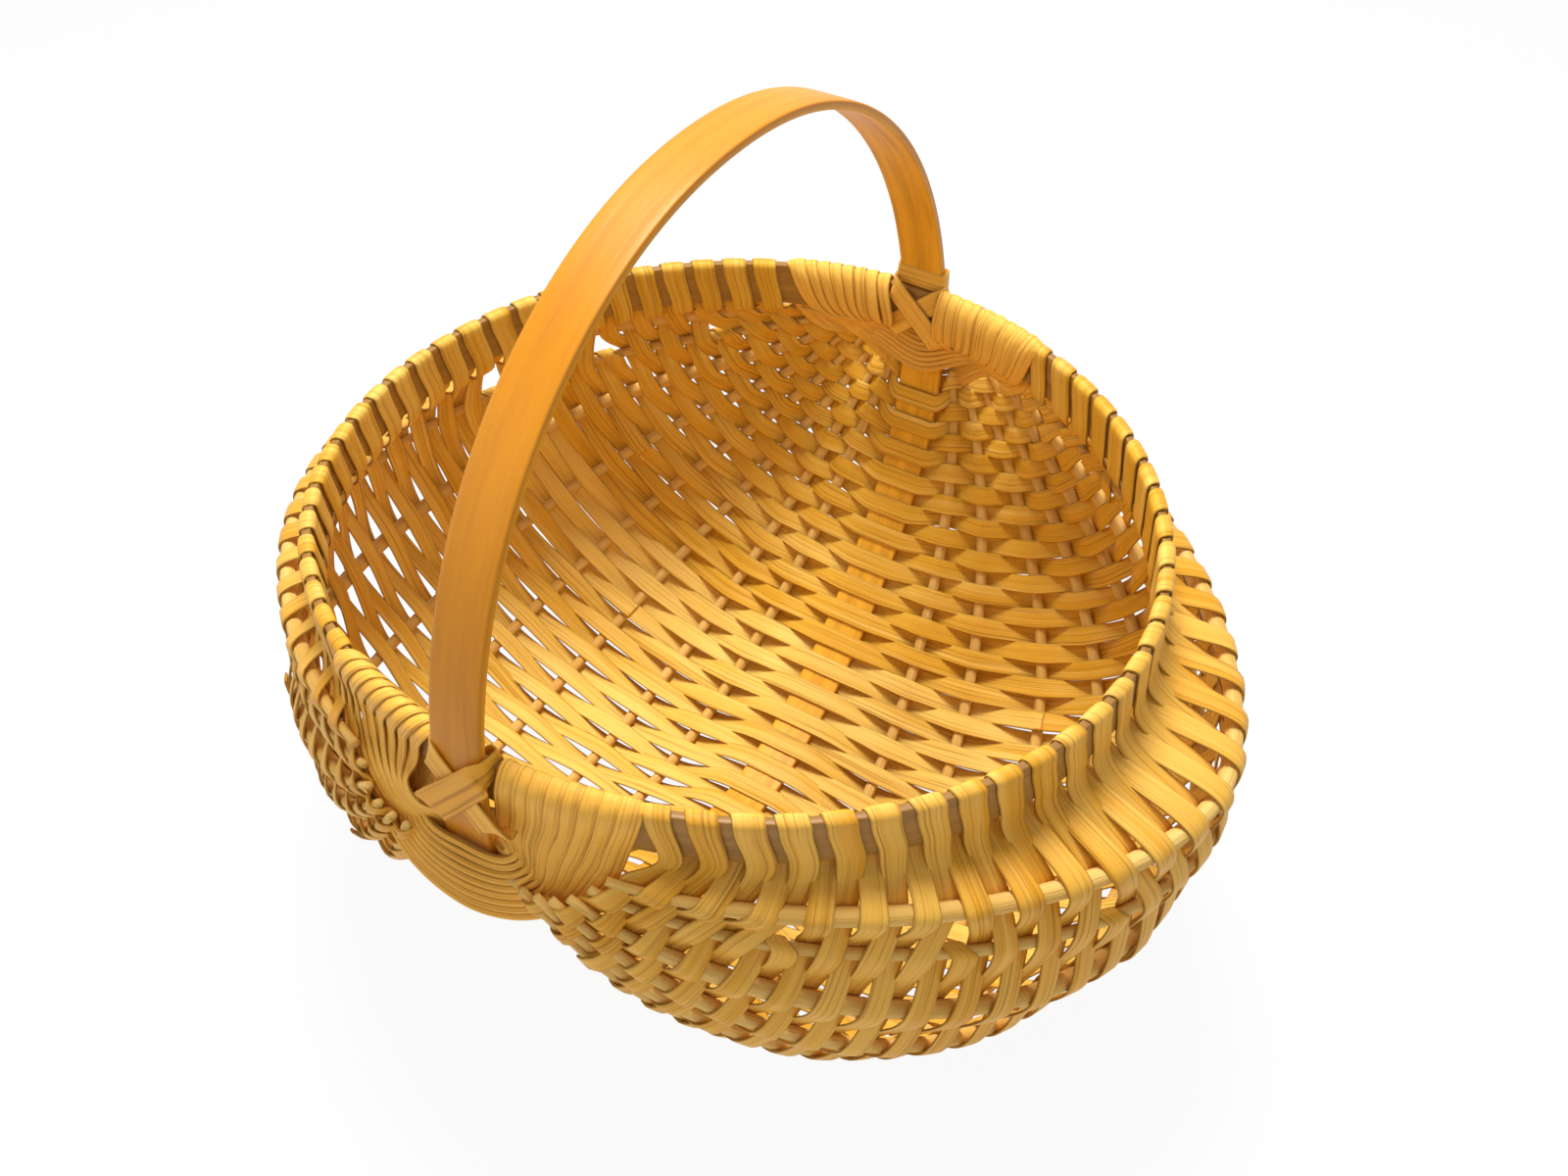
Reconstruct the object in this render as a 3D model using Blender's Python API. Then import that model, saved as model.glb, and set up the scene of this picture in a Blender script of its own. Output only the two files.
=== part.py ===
"""Ribbed basket with two round lobes, woven on two crossed hoops.

Lengths are in metres, Z is up and the handle spans Y. One hoop is the handle and the keel,
the other is the rim. Tapered ribs run from the front ear to the back ear and swell the wall
into two lobes. Long flat weavers go over and under every rib, turn round the rim and come
back. All places are worked out from the widest level of the handle hoop, and the whole part
is lifted at the end, so that the lowest weavers stand flat on the floor at zero.
"""

import math

import bpy
from mathutils import Vector

# The handle hoop, measured to the middle of its wood
HOOP_HALF_LENGTH = 0.148
HANDLE_RISE = 0.168
KEEL_DROP = 0.1455
HOOP_WIDTH = 0.019
HOOP_THICKNESS = 0.0035
HANDLE_ROUNDNESS = 2.11
KEEL_ROUNDNESS = 1.76
HOOP_SEGMENTS = 56

# The rim hoop, which stands on edge inside the handle hoop
RIM_HALF_WIDTH = 0.1545
RIM_LEVEL = 0.0283
RIM_DIP = 0.007
RIM_HEIGHT = 0.019
RIM_THICKNESS = 0.0035
RIM_ROUNDNESS = 2.0

# Ribs, listed from the rim to the keel, with their angles under the level of the lobes' axis
RIB_MIDDLE_ANGLES = (15.0, 21.5, 30.5, 40.5, 49.5, 58.5, 68.5, 77.0)
RIB_TIP_ANGLES = (29.0, 35.3, 41.6, 47.9, 54.2, 60.5, 66.8, 73.0)
THIN_RIB_RADIUS = 0.0020
COMMON_RIB_RADIUS = 0.0025
STOUT_RIB_RADIUS = 0.0032
RIB_RADII = (
    STOUT_RIB_RADIUS,
    THIN_RIB_RADIUS,
    STOUT_RIB_RADIUS,
    COMMON_RIB_RADIUS,
    COMMON_RIB_RADIUS,
    COMMON_RIB_RADIUS,
    COMMON_RIB_RADIUS,
    COMMON_RIB_RADIUS,
)
RIB_TIP_RADIUS = 0.0015
RIB_TAPER_LENGTH = 0.055
RIB_SEGMENTS = 14
RIB_SIDES = 5
RIB_TIP_GAP = 0.0030
FAN_START_SHARE = 0.35
FAN_ROUNDNESS = 2.0

# The lobes, by the angle under their axis, which runs from ear to ear
LOBE_AXIS_LEVEL = 0.0397
LOBE_OVERHANG = 0.0075
LOBE_ANGLES = (0.0, 20.0, 40.0, 60.0, 75.0, 90.0)
LOBE_REACH = 0.224
LOBE_REACH_SHARES = (0.76, 0.91, 0.963, 0.94, 0.894, 0.814)
LOBE_ROUNDNESS = (1.65, 1.75, 2.26, 2.29, 1.8, 2.2)

# Weavers
WEAVER_THICKNESS = 0.001
ROW_GAP = 0.0007
EAR_ROW_GAP = 0.0006
STEEPEST_DIP_SHARE = 0.85
MOST_NARROWED_SHARE = 0.55
LEAST_FOLD_SHARE = 0.5
NARROWING_SHARE = 2.0
SETTLING_COUNT = 8
CLEARANCE = 0.0003
CROSSING_CLEARANCE = 0.0007
RIM_TURN_COUNT = 26
SHORT_TURN_RIB_COUNT = 2
SHORT_PAIR_COUNTS = (3, 6, 9, 16, 19, 22)
ROW_COUNT_OF_WEAVER = 4
SPLICE_TAIL = 0.006
EDGE_MARGIN = 0.0006
RIM_TURN_WIDTH_SHARE = 1.45
RIM_TURN_SHIFT_SHARE = 0.25
FOOT_HALF_LENGTH = 0.003
FOOT_DEPTH = 0.0004
FOOT_REACH = 0.0016

# Ears, measured from the crossing of the hoops
EAR_ON_RIM = 0.062
EAR_ON_TOP = 0.082
EAR_ON_KEEL = 0.0385
EAR_START_ON_RIM = 0.0215
EAR_START_ON_KEEL = 0.0138
EAR_START_ON_LINE = 0.0350
EAR_EDGE_GAP = 0.0013
EAR_TURN_COUNT = 6
EAR_MIDDLE_ANGLE = 45.0

# Cross lashings and the band above them
LASH_WIDTH = 0.0068
LASH_REACH = 0.0152
LASH_CLEARANCE = 0.0008
BAND_HEIGHT = 0.0095

WOOD = (0.50, 0.24, 0.06, 1.0)
RIB_REED = (0.72, 0.45, 0.17, 1.0)
WEAVER_REED = (0.66, 0.38, 0.12, 1.0)
LASH_REED = (0.70, 0.42, 0.15, 1.0)

ACROSS = Vector((1, 0, 0))
UP = Vector((0, 0, 1))


def signed_power(value, power):
    return math.copysign(abs(value) ** power, value)


def blended(places, values, place):
    """The value at a place of a table, on a smooth curve through its entries."""
    last = len(places) - 1
    place = min(max(place, places[0]), places[last])
    i = min(sum(1 for p in places[1:last] if p <= place), last - 1)
    slopes = [(values[k + 1] - values[k]) / (places[k + 1] - places[k]) for k in range(last)]
    start = slopes[i] if i == 0 else (slopes[i - 1] + slopes[i]) / 2
    end = slopes[i] if i == last - 1 else (slopes[i] + slopes[i + 1]) / 2
    span = places[i + 1] - places[i]
    t = (place - places[i]) / span
    rise = values[i + 1] - values[i]
    ease = t * t * (3 - 2 * t)
    return values[i] + rise * ease + span * t * (1 - t) * (start * (1 - t) - end * t)


def hoop_point(turn):
    """A point of the handle hoop, with turn 0 at the back and a quarter turn at the top."""
    angle = 2 * math.pi * turn
    rise = HANDLE_RISE if math.sin(angle) > 0 else KEEL_DROP
    power = 2 / (HANDLE_ROUNDNESS if math.sin(angle) > 0 else KEEL_ROUNDNESS)
    y = HOOP_HALF_LENGTH * signed_power(math.cos(angle), power)
    return Vector((0, y, rise * signed_power(math.sin(angle), power)))


def hoop_y(level):
    """How far out the middle of the hoop is at a level of its handle half."""
    share = (level / HANDLE_RISE) ** HANDLE_ROUNDNESS
    return HOOP_HALF_LENGTH * (1 - share) ** (1 / HANDLE_ROUNDNESS)


def rim_half_length():
    free = hoop_y(RIM_LEVEL + RIM_HEIGHT / 2) - HOOP_THICKNESS / 2
    return free - CROSSING_CLEARANCE - RIM_THICKNESS / 2


def rim_point(turn):
    """A point of the rim, with turn 0 at the front and a quarter turn at the right."""
    angle = 2 * math.pi * turn
    power = 2 / RIM_ROUNDNESS
    across = signed_power(math.sin(angle), power)
    y = -rim_half_length() * signed_power(math.cos(angle), power)
    return Vector((RIM_HALF_WIDTH * across, y, RIM_LEVEL - RIM_DIP * across * across))


def lobe_point(side, turn, tip_angle, middle_angle):
    """A point of a lobe's wall, turn 0 at the front and 1 at the back."""
    swing = math.pi * turn
    share = max(math.sin(swing), 0.0)
    fan = min((1 - share) / (1 - FAN_START_SHARE), 1.0) ** FAN_ROUNDNESS
    slope = math.radians(middle_angle + (tip_angle - middle_angle) * fan)
    power = 2 / blended(LOBE_ANGLES, LOBE_ROUNDNESS, middle_angle)
    reach = LOBE_REACH * blended(LOBE_ANGLES, LOBE_REACH_SHARES, middle_angle)
    out = reach * share**power
    y = -(HOOP_HALF_LENGTH + LOBE_OVERHANG) * signed_power(math.cos(swing), power)
    return Vector((side * out * math.cos(slope), y, LOBE_AXIS_LEVEL - out * math.sin(slope)))


class Warp:
    """A hoop or rib that weavers cross, read by the distance from its front end."""

    def __init__(self, points, half_thickness, half_height, kind, ear):
        self.points = points
        self.half_thickness = half_thickness
        self.half_height = half_height
        self.kind = kind
        self.ear = ear
        self.lengths = [0.0]
        for a, b in zip(points, points[1:]):
            self.lengths.append(self.lengths[-1] + (b - a).length)
        self.length = self.lengths[-1]
        steps = [(b - a).normalized() for a, b in zip(points, points[1:])]
        self.tangents = [steps[0]]
        self.tangents += [(a + b).normalized() for a, b in zip(steps, steps[1:])]
        self.tangents.append(steps[-1])

    def at(self, distance):
        """The point at a distance, and the direction of the warp there."""
        i = min(sum(1 for mark in self.lengths[1:-1] if mark <= distance), len(self.points) - 2)
        t = (distance - self.lengths[i]) / (self.lengths[i + 1] - self.lengths[i])
        point = self.points[i].lerp(self.points[i + 1], t)
        ease = min(max(t, 0.0), 1.0)
        return point, self.tangents[i].lerp(self.tangents[i + 1], ease).normalized()


def rim_warp(side):
    """Half of the rim, from the front crossing to the back one."""
    marks = [k + 0.5 for k in range(HOOP_SEGMENTS // 2)]
    points = [rim_point(side * mark / HOOP_SEGMENTS) for mark in marks]
    front = Vector((0, points[0].y, points[0].z))
    back = Vector((0, points[-1].y, points[-1].z))
    return Warp([front] + points + [back], RIM_THICKNESS / 2, RIM_HEIGHT / 2, "rim", EAR_ON_RIM)


def keel_warp():
    """The hoop below the rim's level, from the front crossing to the back one."""
    start = math.asin((RIM_LEVEL / HANDLE_RISE) ** (HANDLE_ROUNDNESS / 2)) / (2 * math.pi)
    marks = [(k + 0.5) / HOOP_SEGMENTS for k in range(2 * HOOP_SEGMENTS)]
    inner = [mark for mark in marks if 0.5 - start < mark < 1 + start]
    points = [hoop_point(mark) for mark in [0.5 - start] + inner + [1 + start]]
    return Warp(points, HOOP_THICKNESS / 2, HOOP_WIDTH / 2, "keel", EAR_ON_KEEL)


def ear_reach(angle):
    """How far the ear covers a rib that leaves it at an angle."""
    on_keel = EAR_ON_KEEL + LOBE_AXIS_LEVEL - RIM_LEVEL
    return EAR_ON_TOP + (on_keel - EAR_ON_TOP) * angle / 90


def rib_warp(side, k):
    angles = RIB_TIP_ANGLES[k], RIB_MIDDLE_ANGLES[k]
    fine = [lobe_point(side, i / 200, *angles) for i in range(201)]
    whole = Warp(fine, RIB_RADII[k], RIB_RADII[k], "rib", 0.0)
    ear = ear_reach(RIB_TIP_ANGLES[k])
    start = ear + RIB_TIP_GAP
    span = whole.length - 2 * start
    points = [whole.at(start + span * i / RIB_SEGMENTS)[0] for i in range(RIB_SEGMENTS + 1)]
    return Warp(points, RIB_RADII[k], RIB_RADII[k], "rib", -RIB_TIP_GAP)


def ear_line(side):
    """A line down the middle of the front ear, where its weaver changes from face to face."""
    reach = ear_reach(EAR_MIDDLE_ANGLE)
    angles = EAR_MIDDLE_ANGLE, EAR_MIDDLE_ANGLE
    fine = Warp([lobe_point(side, i / 200, *angles) for i in range(101)], 0.0, 0.0, "ear", 0.0)
    start = Vector((0, -hoop_y(LOBE_AXIS_LEVEL), LOBE_AXIS_LEVEL))
    edge = fine.at(reach)[0]
    return Warp([start, edge], 0.0, 0.0, "ear", (edge - start).length)


def rib_radius(warp, distance):
    """Ribs taper to slim tips at both ears."""
    from_end = max(min(distance, warp.length - distance), 0.0)
    share = min(from_end / RIB_TAPER_LENGTH, 1.0)
    return RIB_TIP_RADIUS + (warp.half_thickness - RIB_TIP_RADIUS) * math.sin(share * math.pi / 2)


class Crossing:
    """One weaver passing one warp, outside it for sign 1 and inside it for sign -1."""

    def __init__(self, warp, distance, pitch, sign, row, gap):
        self.warp = warp
        self.distance = distance
        self.pitch = pitch
        self.sign = sign
        self.row = row
        self.point, self.along = warp.at(distance)
        self.out = None
        self.offset = 0.0
        self.bulge = 0.0
        self.width = 0.0
        self.gap = gap
        self.turn = None
        self.foot = False


def outward(crossing, before, after):
    """The wall's outward direction at a crossing."""
    if crossing.warp.kind == "rim":
        out = crossing.along.cross(UP)
    elif crossing.warp.kind == "keel":
        out = crossing.along.cross(ACROSS)
    else:
        out = crossing.along.cross(after - before)
    out.normalize()
    away = Vector((crossing.point.x, crossing.point.y, crossing.point.z - LOBE_AXIS_LEVEL))
    return out if out.dot(away) > 0 else -out


def bulge_beside(c):
    """How much a bent warp stands out towards the weaver, over the weaver's width."""
    wide = RIM_TURN_WIDTH_SHARE if c.warp.kind == "rim" else 1.0
    places = [c.warp.at(c.distance + c.pitch * wide * k / 8)[0] for k in range(-4, 5)]
    return max((place - c.point).dot(c.out) * c.sign for place in places)


def edge_point(c, toward):
    """The middle of a weaver where it leaves its warp towards the next one."""
    point = c.point + c.out * (c.sign * c.offset)
    if c.warp.kind == "rim":
        return point - UP * (c.warp.half_height + EDGE_MARGIN)
    if c.warp.kind == "keel":
        reach = c.warp.half_height + EDGE_MARGIN
        return point + ACROSS * math.copysign(reach, toward.point.x)
    return point


def mark_feet(path):
    """The lowest outer crossings of ribs get a short level stretch to stand on."""
    outer = [c for c in path if c.sign > 0 and c.warp.kind == "rib" and c.turn is None]
    for c in outer:
        if c.point.z < min(other.point.z for other in outer) + FOOT_REACH:
            c.foot = True
            c.out = -UP


def settle(path):
    """Gives each crossing its outward direction and the offset that clears its warp."""
    for i, c in enumerate(path):
        before = path[max(i - 1, 0)]
        after = path[min(i + 1, len(path) - 1)]
        if c.turn is not None and c.warp.kind == "rib":
            after = before if after.row != c.row else after
            before = c if after is before else c
        c.out = outward(c, before.point, after.point)
    mark_feet(path)
    for c in path:
        c.bulge = bulge_beside(c)
    for _ in range(SETTLING_COUNT):
        for i, c in enumerate(path):
            if c.warp.kind == "ear":
                continue
            half = rib_radius(c.warp, c.distance) if c.warp.kind == "rib" else c.warp.half_thickness
            dip = 0.0
            if c.warp.kind == "rib":
                for other in (path[max(i - 1, 0)], path[min(i + 1, len(path) - 1)]):
                    if other.warp is not c.warp:
                        way = edge_point(other, c) - edge_point(c, other)
                        dip = max(dip, -c.sign * way.dot(c.out) / way.length)
            free = (half + CLEARANCE) / math.sqrt(1 - min(dip, STEEPEST_DIP_SHARE) ** 2)
            c.offset = free + c.bulge + WEAVER_THICKNESS / 2
    for i, c in enumerate(path):
        start = c.warp.at(c.distance - c.pitch / 2)[1]
        turned = start.angle(c.warp.at(c.distance + c.pitch / 2)[1])
        c.width = c.pitch - c.gap - c.offset * turned
        beside = path[max(i - 1, 0) : i + 2]
        if any(other.warp.kind == "rim" for other in beside):
            lean = max(abs(other.out.dot(c.along)) * other.offset for other in beside)
            c.width -= min(lean * NARROWING_SHARE, c.width * MOST_NARROWED_SHARE)


class Section:
    """A cut across a weaver: its inner and outer points, and half its width as a vector."""

    def __init__(self, low, high, half_width, bend=False):
        self.low = low
        self.high = high
        self.half_width = half_width
        self.bend = bend

    def moved(self, step):
        return Section(self.low + step, self.high + step, self.half_width, self.bend)


def flat_section(c, point, offset, width):
    centre = point + c.out * offset
    half = c.out * (WEAVER_THICKNESS / 2)
    return Section(centre - half, centre + half, c.along * (width / 2))


def crossing_sections(c, ahead):
    """Sections where a weaver passes a warp, in the order in which it goes."""
    width = c.width
    if c.warp.kind == "keel":
        side = ACROSS * math.copysign(c.warp.half_height + EDGE_MARGIN, ahead.x)
        places = [c.point - side, c.point + side]
    elif c.foot:
        step = ahead - c.out * ahead.dot(c.out)
        step = step.normalized() * FOOT_HALF_LENGTH
        places = [c.point - step, c.point + step]
    else:
        places = [c.point]
    sections = [flat_section(c, place, c.sign * c.offset, width) for place in places]
    if c.row % 2:
        sections = [Section(s.high, s.low, s.half_width) for s in sections]
    return sections


def turn_sections(first, second):
    """Sections where a weaver goes round the rim or a rib from one row to the next."""
    warp = first.warp
    rim = warp.kind == "rim"
    sections = []
    for c, partner in ((first, second), (second, first)):
        up = UP if rim else c.out.cross(c.along).normalized()
        if not rim and up.z < 0:
            up = -up
        low = warp.half_height + EDGE_MARGIN if rim else 0.0
        side = (warp.half_thickness if rim else rib_radius(warp, c.distance)) + c.bulge + CLEARANCE
        top = (warp.half_height if rim else rib_radius(warp, c.distance)) + CLEARANCE
        foot = flat_section(c, c.point - up * low, c.sign * c.offset, c.width)
        shift = RIM_TURN_SHIFT_SHARE if rim else 0.0
        middle = c.point.lerp(partner.point, shift)
        wide = c.width
        if rim and partner is not c:
            wide = c.pitch * RIM_TURN_WIDTH_SHARE - c.gap
        inner = middle + c.out * (c.sign * side) + up * top
        corner = (c.out * c.sign + up) * WEAVER_THICKNESS
        head = Section(inner, inner + corner, c.along * (wide / 2))
        if c.sign < 0:
            foot = Section(foot.high, foot.low, foot.half_width)
        foot.bend = rim
        pair = [foot, head]
        sections += pair if c is first else pair[::-1]
    return sections


def rows_of(turns):
    return list(zip(turns, turns[1:]))


def weave_path(warps, turns, starts, gap):
    """All crossings of one continuous weaver that goes back and forth between its turns."""
    rows = rows_of(turns)
    cover = [[r for r, pair in enumerate(rows) if min(pair) <= i <= max(pair)] for i in range(len(warps))]
    signs = []
    count = 0
    for warp in warps:
        signs.append(1 if count % 2 == 0 else -1)
        count += warp.kind != "ear"
    path = []
    for r, (a, b) in enumerate(rows):
        step = 1 if b > a else -1
        for i in range(a, b + step, step):
            start, end = starts(warps[i])
            pitch = (end - start) / len(cover[i])
            distance = start + pitch * (cover[i].index(r) + 0.5)
            sign = signs[i] * (1 if r % 2 == 0 else -1)
            if warps[i].kind == "ear":
                sign = 0
            path.append(Crossing(warps[i], distance, pitch, sign, r, gap))
            path[-1].index = i
    for first, second in zip(path, path[1:]):
        if first.warp is second.warp:
            first.turn = second
            second.turn = first
    return path


def sections_of(path, start, end):
    """The sections of the path from one crossing to another, and the range of each crossing."""
    sections = []
    ranges = {}
    i = start
    while i <= end:
        c = path[i]
        begin = len(sections)
        if c.turn is not None and i < end and path[i + 1] is c.turn:
            sections += turn_sections(c, path[i + 1])
            ranges[i] = (begin, begin + 2)
            ranges[i + 1] = (begin + 2, begin + 4)
            i += 2
            continue
        if c.warp.kind == "rim":
            half = turn_sections(c, c)[:2]
            sections += half[::-1] if i == start else half
        else:
            before = path[max(i - 1, 0)]
            after = path[min(i + 1, len(path) - 1)]
            sections += crossing_sections(c, after.point - before.point)
        ranges[i] = (begin, len(sections))
        i += 1
    return sections, ranges


def mitre_bends(sections):
    """Keeps a weaver's thickness where it leaves the side of the rim at a sharp angle."""
    for before, s, after in zip(sections, sections[1:], sections[2:]):
        if s.bend:
            first = s.half_width.cross(s.low - before.low).normalized()
            second = s.half_width.cross(after.low - s.low).normalized()
            upright = first if abs(first.z) < abs(second.z) else second
            size = math.copysign(WEAVER_THICKNESS, upright.dot(s.high - s.low))
            fold = max(1 + first.dot(second), LEAST_FOLD_SHARE)
            s.high = s.low + (first + second) * (size / fold)


def strip_mesh(sections):
    """A closed strip through the sections."""
    mitre_bends(sections)
    points = []
    for s in sections:
        low, high, half = s.low, s.high, s.half_width
        points += [low - half, low + half, high + half, high - half]
    faces = [(0, 1, 2, 3)]
    for k in range(len(sections) - 1):
        a = 4 * k
        faces += [(a + i, a + 4 + i, a + 4 + (i + 1) % 4, a + (i + 1) % 4) for i in range(4)]
    end = len(points)
    faces.append((end - 1, end - 2, end - 3, end - 4))
    return points, faces


def ring_mesh(loops):
    """A closed ring through loops of points."""
    sides = len(loops[0])
    points = [p for loop in loops for p in loop]
    faces = []
    for k in range(len(loops)):
        a = k * sides
        b = (k + 1) % len(loops) * sides
        faces += [(a + i, b + i, b + (i + 1) % sides, a + (i + 1) % sides) for i in range(sides)]
    return points, faces


def tube_mesh(loops):
    """A closed tube through loops of points, with a flat cap at each end."""
    sides = len(loops[0])
    points, faces = ring_mesh(loops)
    faces = faces[: sides * (len(loops) - 1)]
    faces.append(tuple(range(sides)))
    faces.append(tuple(range(len(points) - 1, len(points) - 1 - sides, -1)))
    return points, faces


def hoop_mesh(point, half_width, half_thickness, flat):
    """A bent hoop of plain rectangular stock through the facets of a closed curve."""
    loops = []
    for k in range(HOOP_SEGMENTS):
        mark = (k + 0.5) / HOOP_SEGMENTS
        here = point(mark)
        step = 1 / HOOP_SEGMENTS
        before = (here - point(mark - step)).normalized()
        after = (point(mark + step) - here).normalized()
        along = (before + after).normalized()
        thick = along.cross(flat).normalized() * (half_thickness / along.dot(after))
        wide = flat * half_width
        loops.append([here - thick - wide, here + thick - wide, here + thick + wide, here - thick + wide])
    return ring_mesh(loops)


def rib_mesh(warp):
    loops = []
    for point, along, mark in zip(warp.points, warp.tangents, warp.lengths):
        away = Vector((point.x, 0, point.z - LOBE_AXIS_LEVEL))
        side = along.cross(away).normalized()
        out = side.cross(along).normalized()
        radius = rib_radius(warp, mark)
        turns = [2 * math.pi * (i + 0.5) / RIB_SIDES for i in range(RIB_SIDES)]
        loops.append([point + (out * math.cos(t) + side * math.sin(t)) * radius for t in turns])
    return tube_mesh(loops)


def basket_warps():
    ribs = range(len(RIB_RADII))
    right = [rib_warp(1, k) for k in ribs]
    left = [rib_warp(-1, k) for k in reversed(ribs)]
    return [rim_warp(1)] + right + [keel_warp()] + left + [rim_warp(-1)]


def wall_turns(last):
    """The warps at which the weaver turns, with a pair of short rows now and then."""
    turns = [0]
    for pair in range(RIM_TURN_COUNT):
        turns.append(last)
        if pair in SHORT_PAIR_COUNTS:
            turns += [SHORT_TURN_RIB_COUNT, last - SHORT_TURN_RIB_COUNT]
        turns.append(0)
    return turns


def splice_places(path, last):
    """Where one weaver ends and the next begins, as the first of two shared crossings."""
    rows = path[-1].row + 1
    pairs = ((4, 5), (12, 13), (6, 7), (14, 15), (5, 6), (11, 12), (3, 4), (13, 14))
    places = []
    for n, row in enumerate(range(ROW_COUNT_OF_WEAVER - 1, rows - 2, ROW_COUNT_OF_WEAVER)):
        pair = pairs[n % len(pairs)]
        found = [i for i, c in enumerate(path) if c.row == row and c.index in pair]
        places.append(min(found))
    return places


def stacked(section, c, outer):
    """A section moved so that two weavers can share a crossing, one over the other."""
    step = WEAVER_THICKNESS + CLEARANCE
    if outer:
        return section.moved(c.out * step) if c.sign > 0 else section
    return section.moved(c.out * -step) if c.sign < 0 else section


def weaver_sections(path, start, end, first, last):
    """One weaver, laid over the end of the one before it and under the next one's start."""
    sections, ranges = sections_of(path, start, end)
    if not first:
        for i in (start, start + 1):
            for k in range(*ranges[i]):
                sections[k] = stacked(sections[k], path[i], True)
        before, _ = sections_of(path, start - 1, start)
        way = before[-2].high - stacked(before[-1], path[start], False).high
        tail = way.normalized() * SPLICE_TAIL
        sections.insert(0, sections[0].moved(tail))
    if not last:
        shift = 0 if first else 1
        for i in (end - 1, end):
            for k in range(*ranges[i]):
                sections[k + shift] = stacked(sections[k + shift], path[i], False)
        after, _ = sections_of(path, end, end + 1)
        way = after[1].high - stacked(after[0], path[end], True).high
        tail = way.normalized() * SPLICE_TAIL
        sections.append(sections[-1].moved(tail))
    return sections


def wall_weavers(warps):
    last = len(warps) - 1
    path = weave_path(warps, wall_turns(last), lambda w: (w.ear, w.length - w.ear), ROW_GAP)
    settle(path)
    cuts = splice_places(path, last)
    starts = [0] + cuts
    ends = [cut + 1 for cut in cuts] + [len(path) - 1]
    meshes = []
    for n, (start, end) in enumerate(zip(starts, ends)):
        sections = weaver_sections(path, start, end, n == 0, n == len(cuts))
        meshes.append(strip_mesh(sections))
    return meshes


def ear_weaver(warps):
    """The front weaver that lashes the rim to the keel and fills the ear up to the ribs."""
    keel = warps[len(warps) // 2]
    lines = [warps[0], ear_line(1), keel, ear_line(-1), warps[-1]]

    def starts(warp):
        inner = EAR_START_ON_KEEL if warp.kind == "keel" else EAR_START_ON_RIM
        if warp.kind == "ear":
            inner = EAR_START_ON_LINE
        return inner, warp.ear - EAR_EDGE_GAP

    turns = [0] + [len(lines) - 1, 0] * EAR_TURN_COUNT
    path = weave_path(lines, turns, starts, EAR_ROW_GAP)
    settle(path)
    sections, _ = sections_of(path, 0, len(path) - 1)
    return strip_mesh(sections)


def turned_round(mesh_data):
    """The same mesh for the other end of the basket, half a turn round."""
    points, faces = mesh_data
    return [Vector((-p.x, -p.y, p.z)) for p in points], faces


def lash_loop(lean, layer):
    """One diagonal turn of reed round the crossing, on the outer face and on the inner one."""
    step = layer * (WEAVER_THICKNESS + CLEARANCE)
    gap = LASH_CLEARANCE + step
    top = RIM_LEVEL + RIM_HEIGHT / 2 + CLEARANCE + step
    bottom = RIM_LEVEL - RIM_HEIGHT / 2 - CLEARANCE - step
    outer_top = hoop_y(top) + HOOP_THICKNESS / 2 + gap
    outer_bottom = hoop_y(bottom) + HOOP_THICKNESS / 2 + gap
    reach = (LASH_REACH + LASH_WIDTH / 2) / RIM_HALF_WIDTH
    inner = rim_half_length() * math.sqrt(1 - reach * reach) - RIM_THICKNESS / 2 - gap
    t = WEAVER_THICKNESS
    corners = (
        (-1, outer_bottom, bottom, 1, -1),
        (1, outer_top, top, 1, 1),
        (1, inner, top, -1, 1),
        (-1, inner, bottom, -1, -1),
    )
    loops = []
    for side, out, level, away, above in corners:
        x = side * lean * LASH_REACH
        low = Vector((x, -out, level))
        high = Vector((x, -out - away * t, level + above * t))
        half = ACROSS * (LASH_WIDTH / 2)
        loops.append([low - half, low + half, high + half, high - half])
    return ring_mesh(loops)


def band_mesh():
    """The band of reed round the handle just above the rim."""
    bottom = RIM_LEVEL + RIM_HEIGHT / 2 + CLEARANCE
    loops = []
    for grow in (CLEARANCE, CLEARANCE + WEAVER_THICKNESS):
        x = HOOP_WIDTH / 2 + grow
        deep = HOOP_THICKNESS / 2 + grow
        for level in (bottom, bottom + BAND_HEIGHT):
            y = hoop_y(level)
            places = ((-x, y - deep), (x, y - deep), (x, y + deep), (-x, y + deep))
            loops.append([Vector((a, -b, level)) for a, b in places])
    return ring_mesh([loops[0], loops[1], loops[3], loops[2]])


def facing_out(points, faces):
    """The faces, turned round if the body they close is inside out."""
    volume = 0.0
    for face in faces:
        for i in range(1, len(face) - 1):
            a, b, c = points[face[0]], points[face[i]], points[face[i + 1]]
            volume += a.dot(b.cross(c))
    return faces if volume > 0 else [face[::-1] for face in faces]


def add_piece(name, mesh_data, lift, colour):
    points, faces = mesh_data
    faces = facing_out(points, faces)
    raised = [(p.x, p.y, max(p.z + lift, 0.0)) for p in points]
    mesh = bpy.data.meshes.new(name)
    mesh.from_pydata(raised, [], faces)
    mesh.validate()
    material = bpy.data.materials.new(name)
    material.use_nodes = True
    material.diffuse_color = colour
    shader = material.node_tree.nodes["Principled BSDF"]
    shader.inputs["Base Color"].default_value = colour
    shader.inputs["Roughness"].default_value = 0.55
    mesh.materials.append(material)
    piece = bpy.data.objects.new(name, mesh)
    bpy.context.scene.collection.objects.link(piece)


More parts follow.
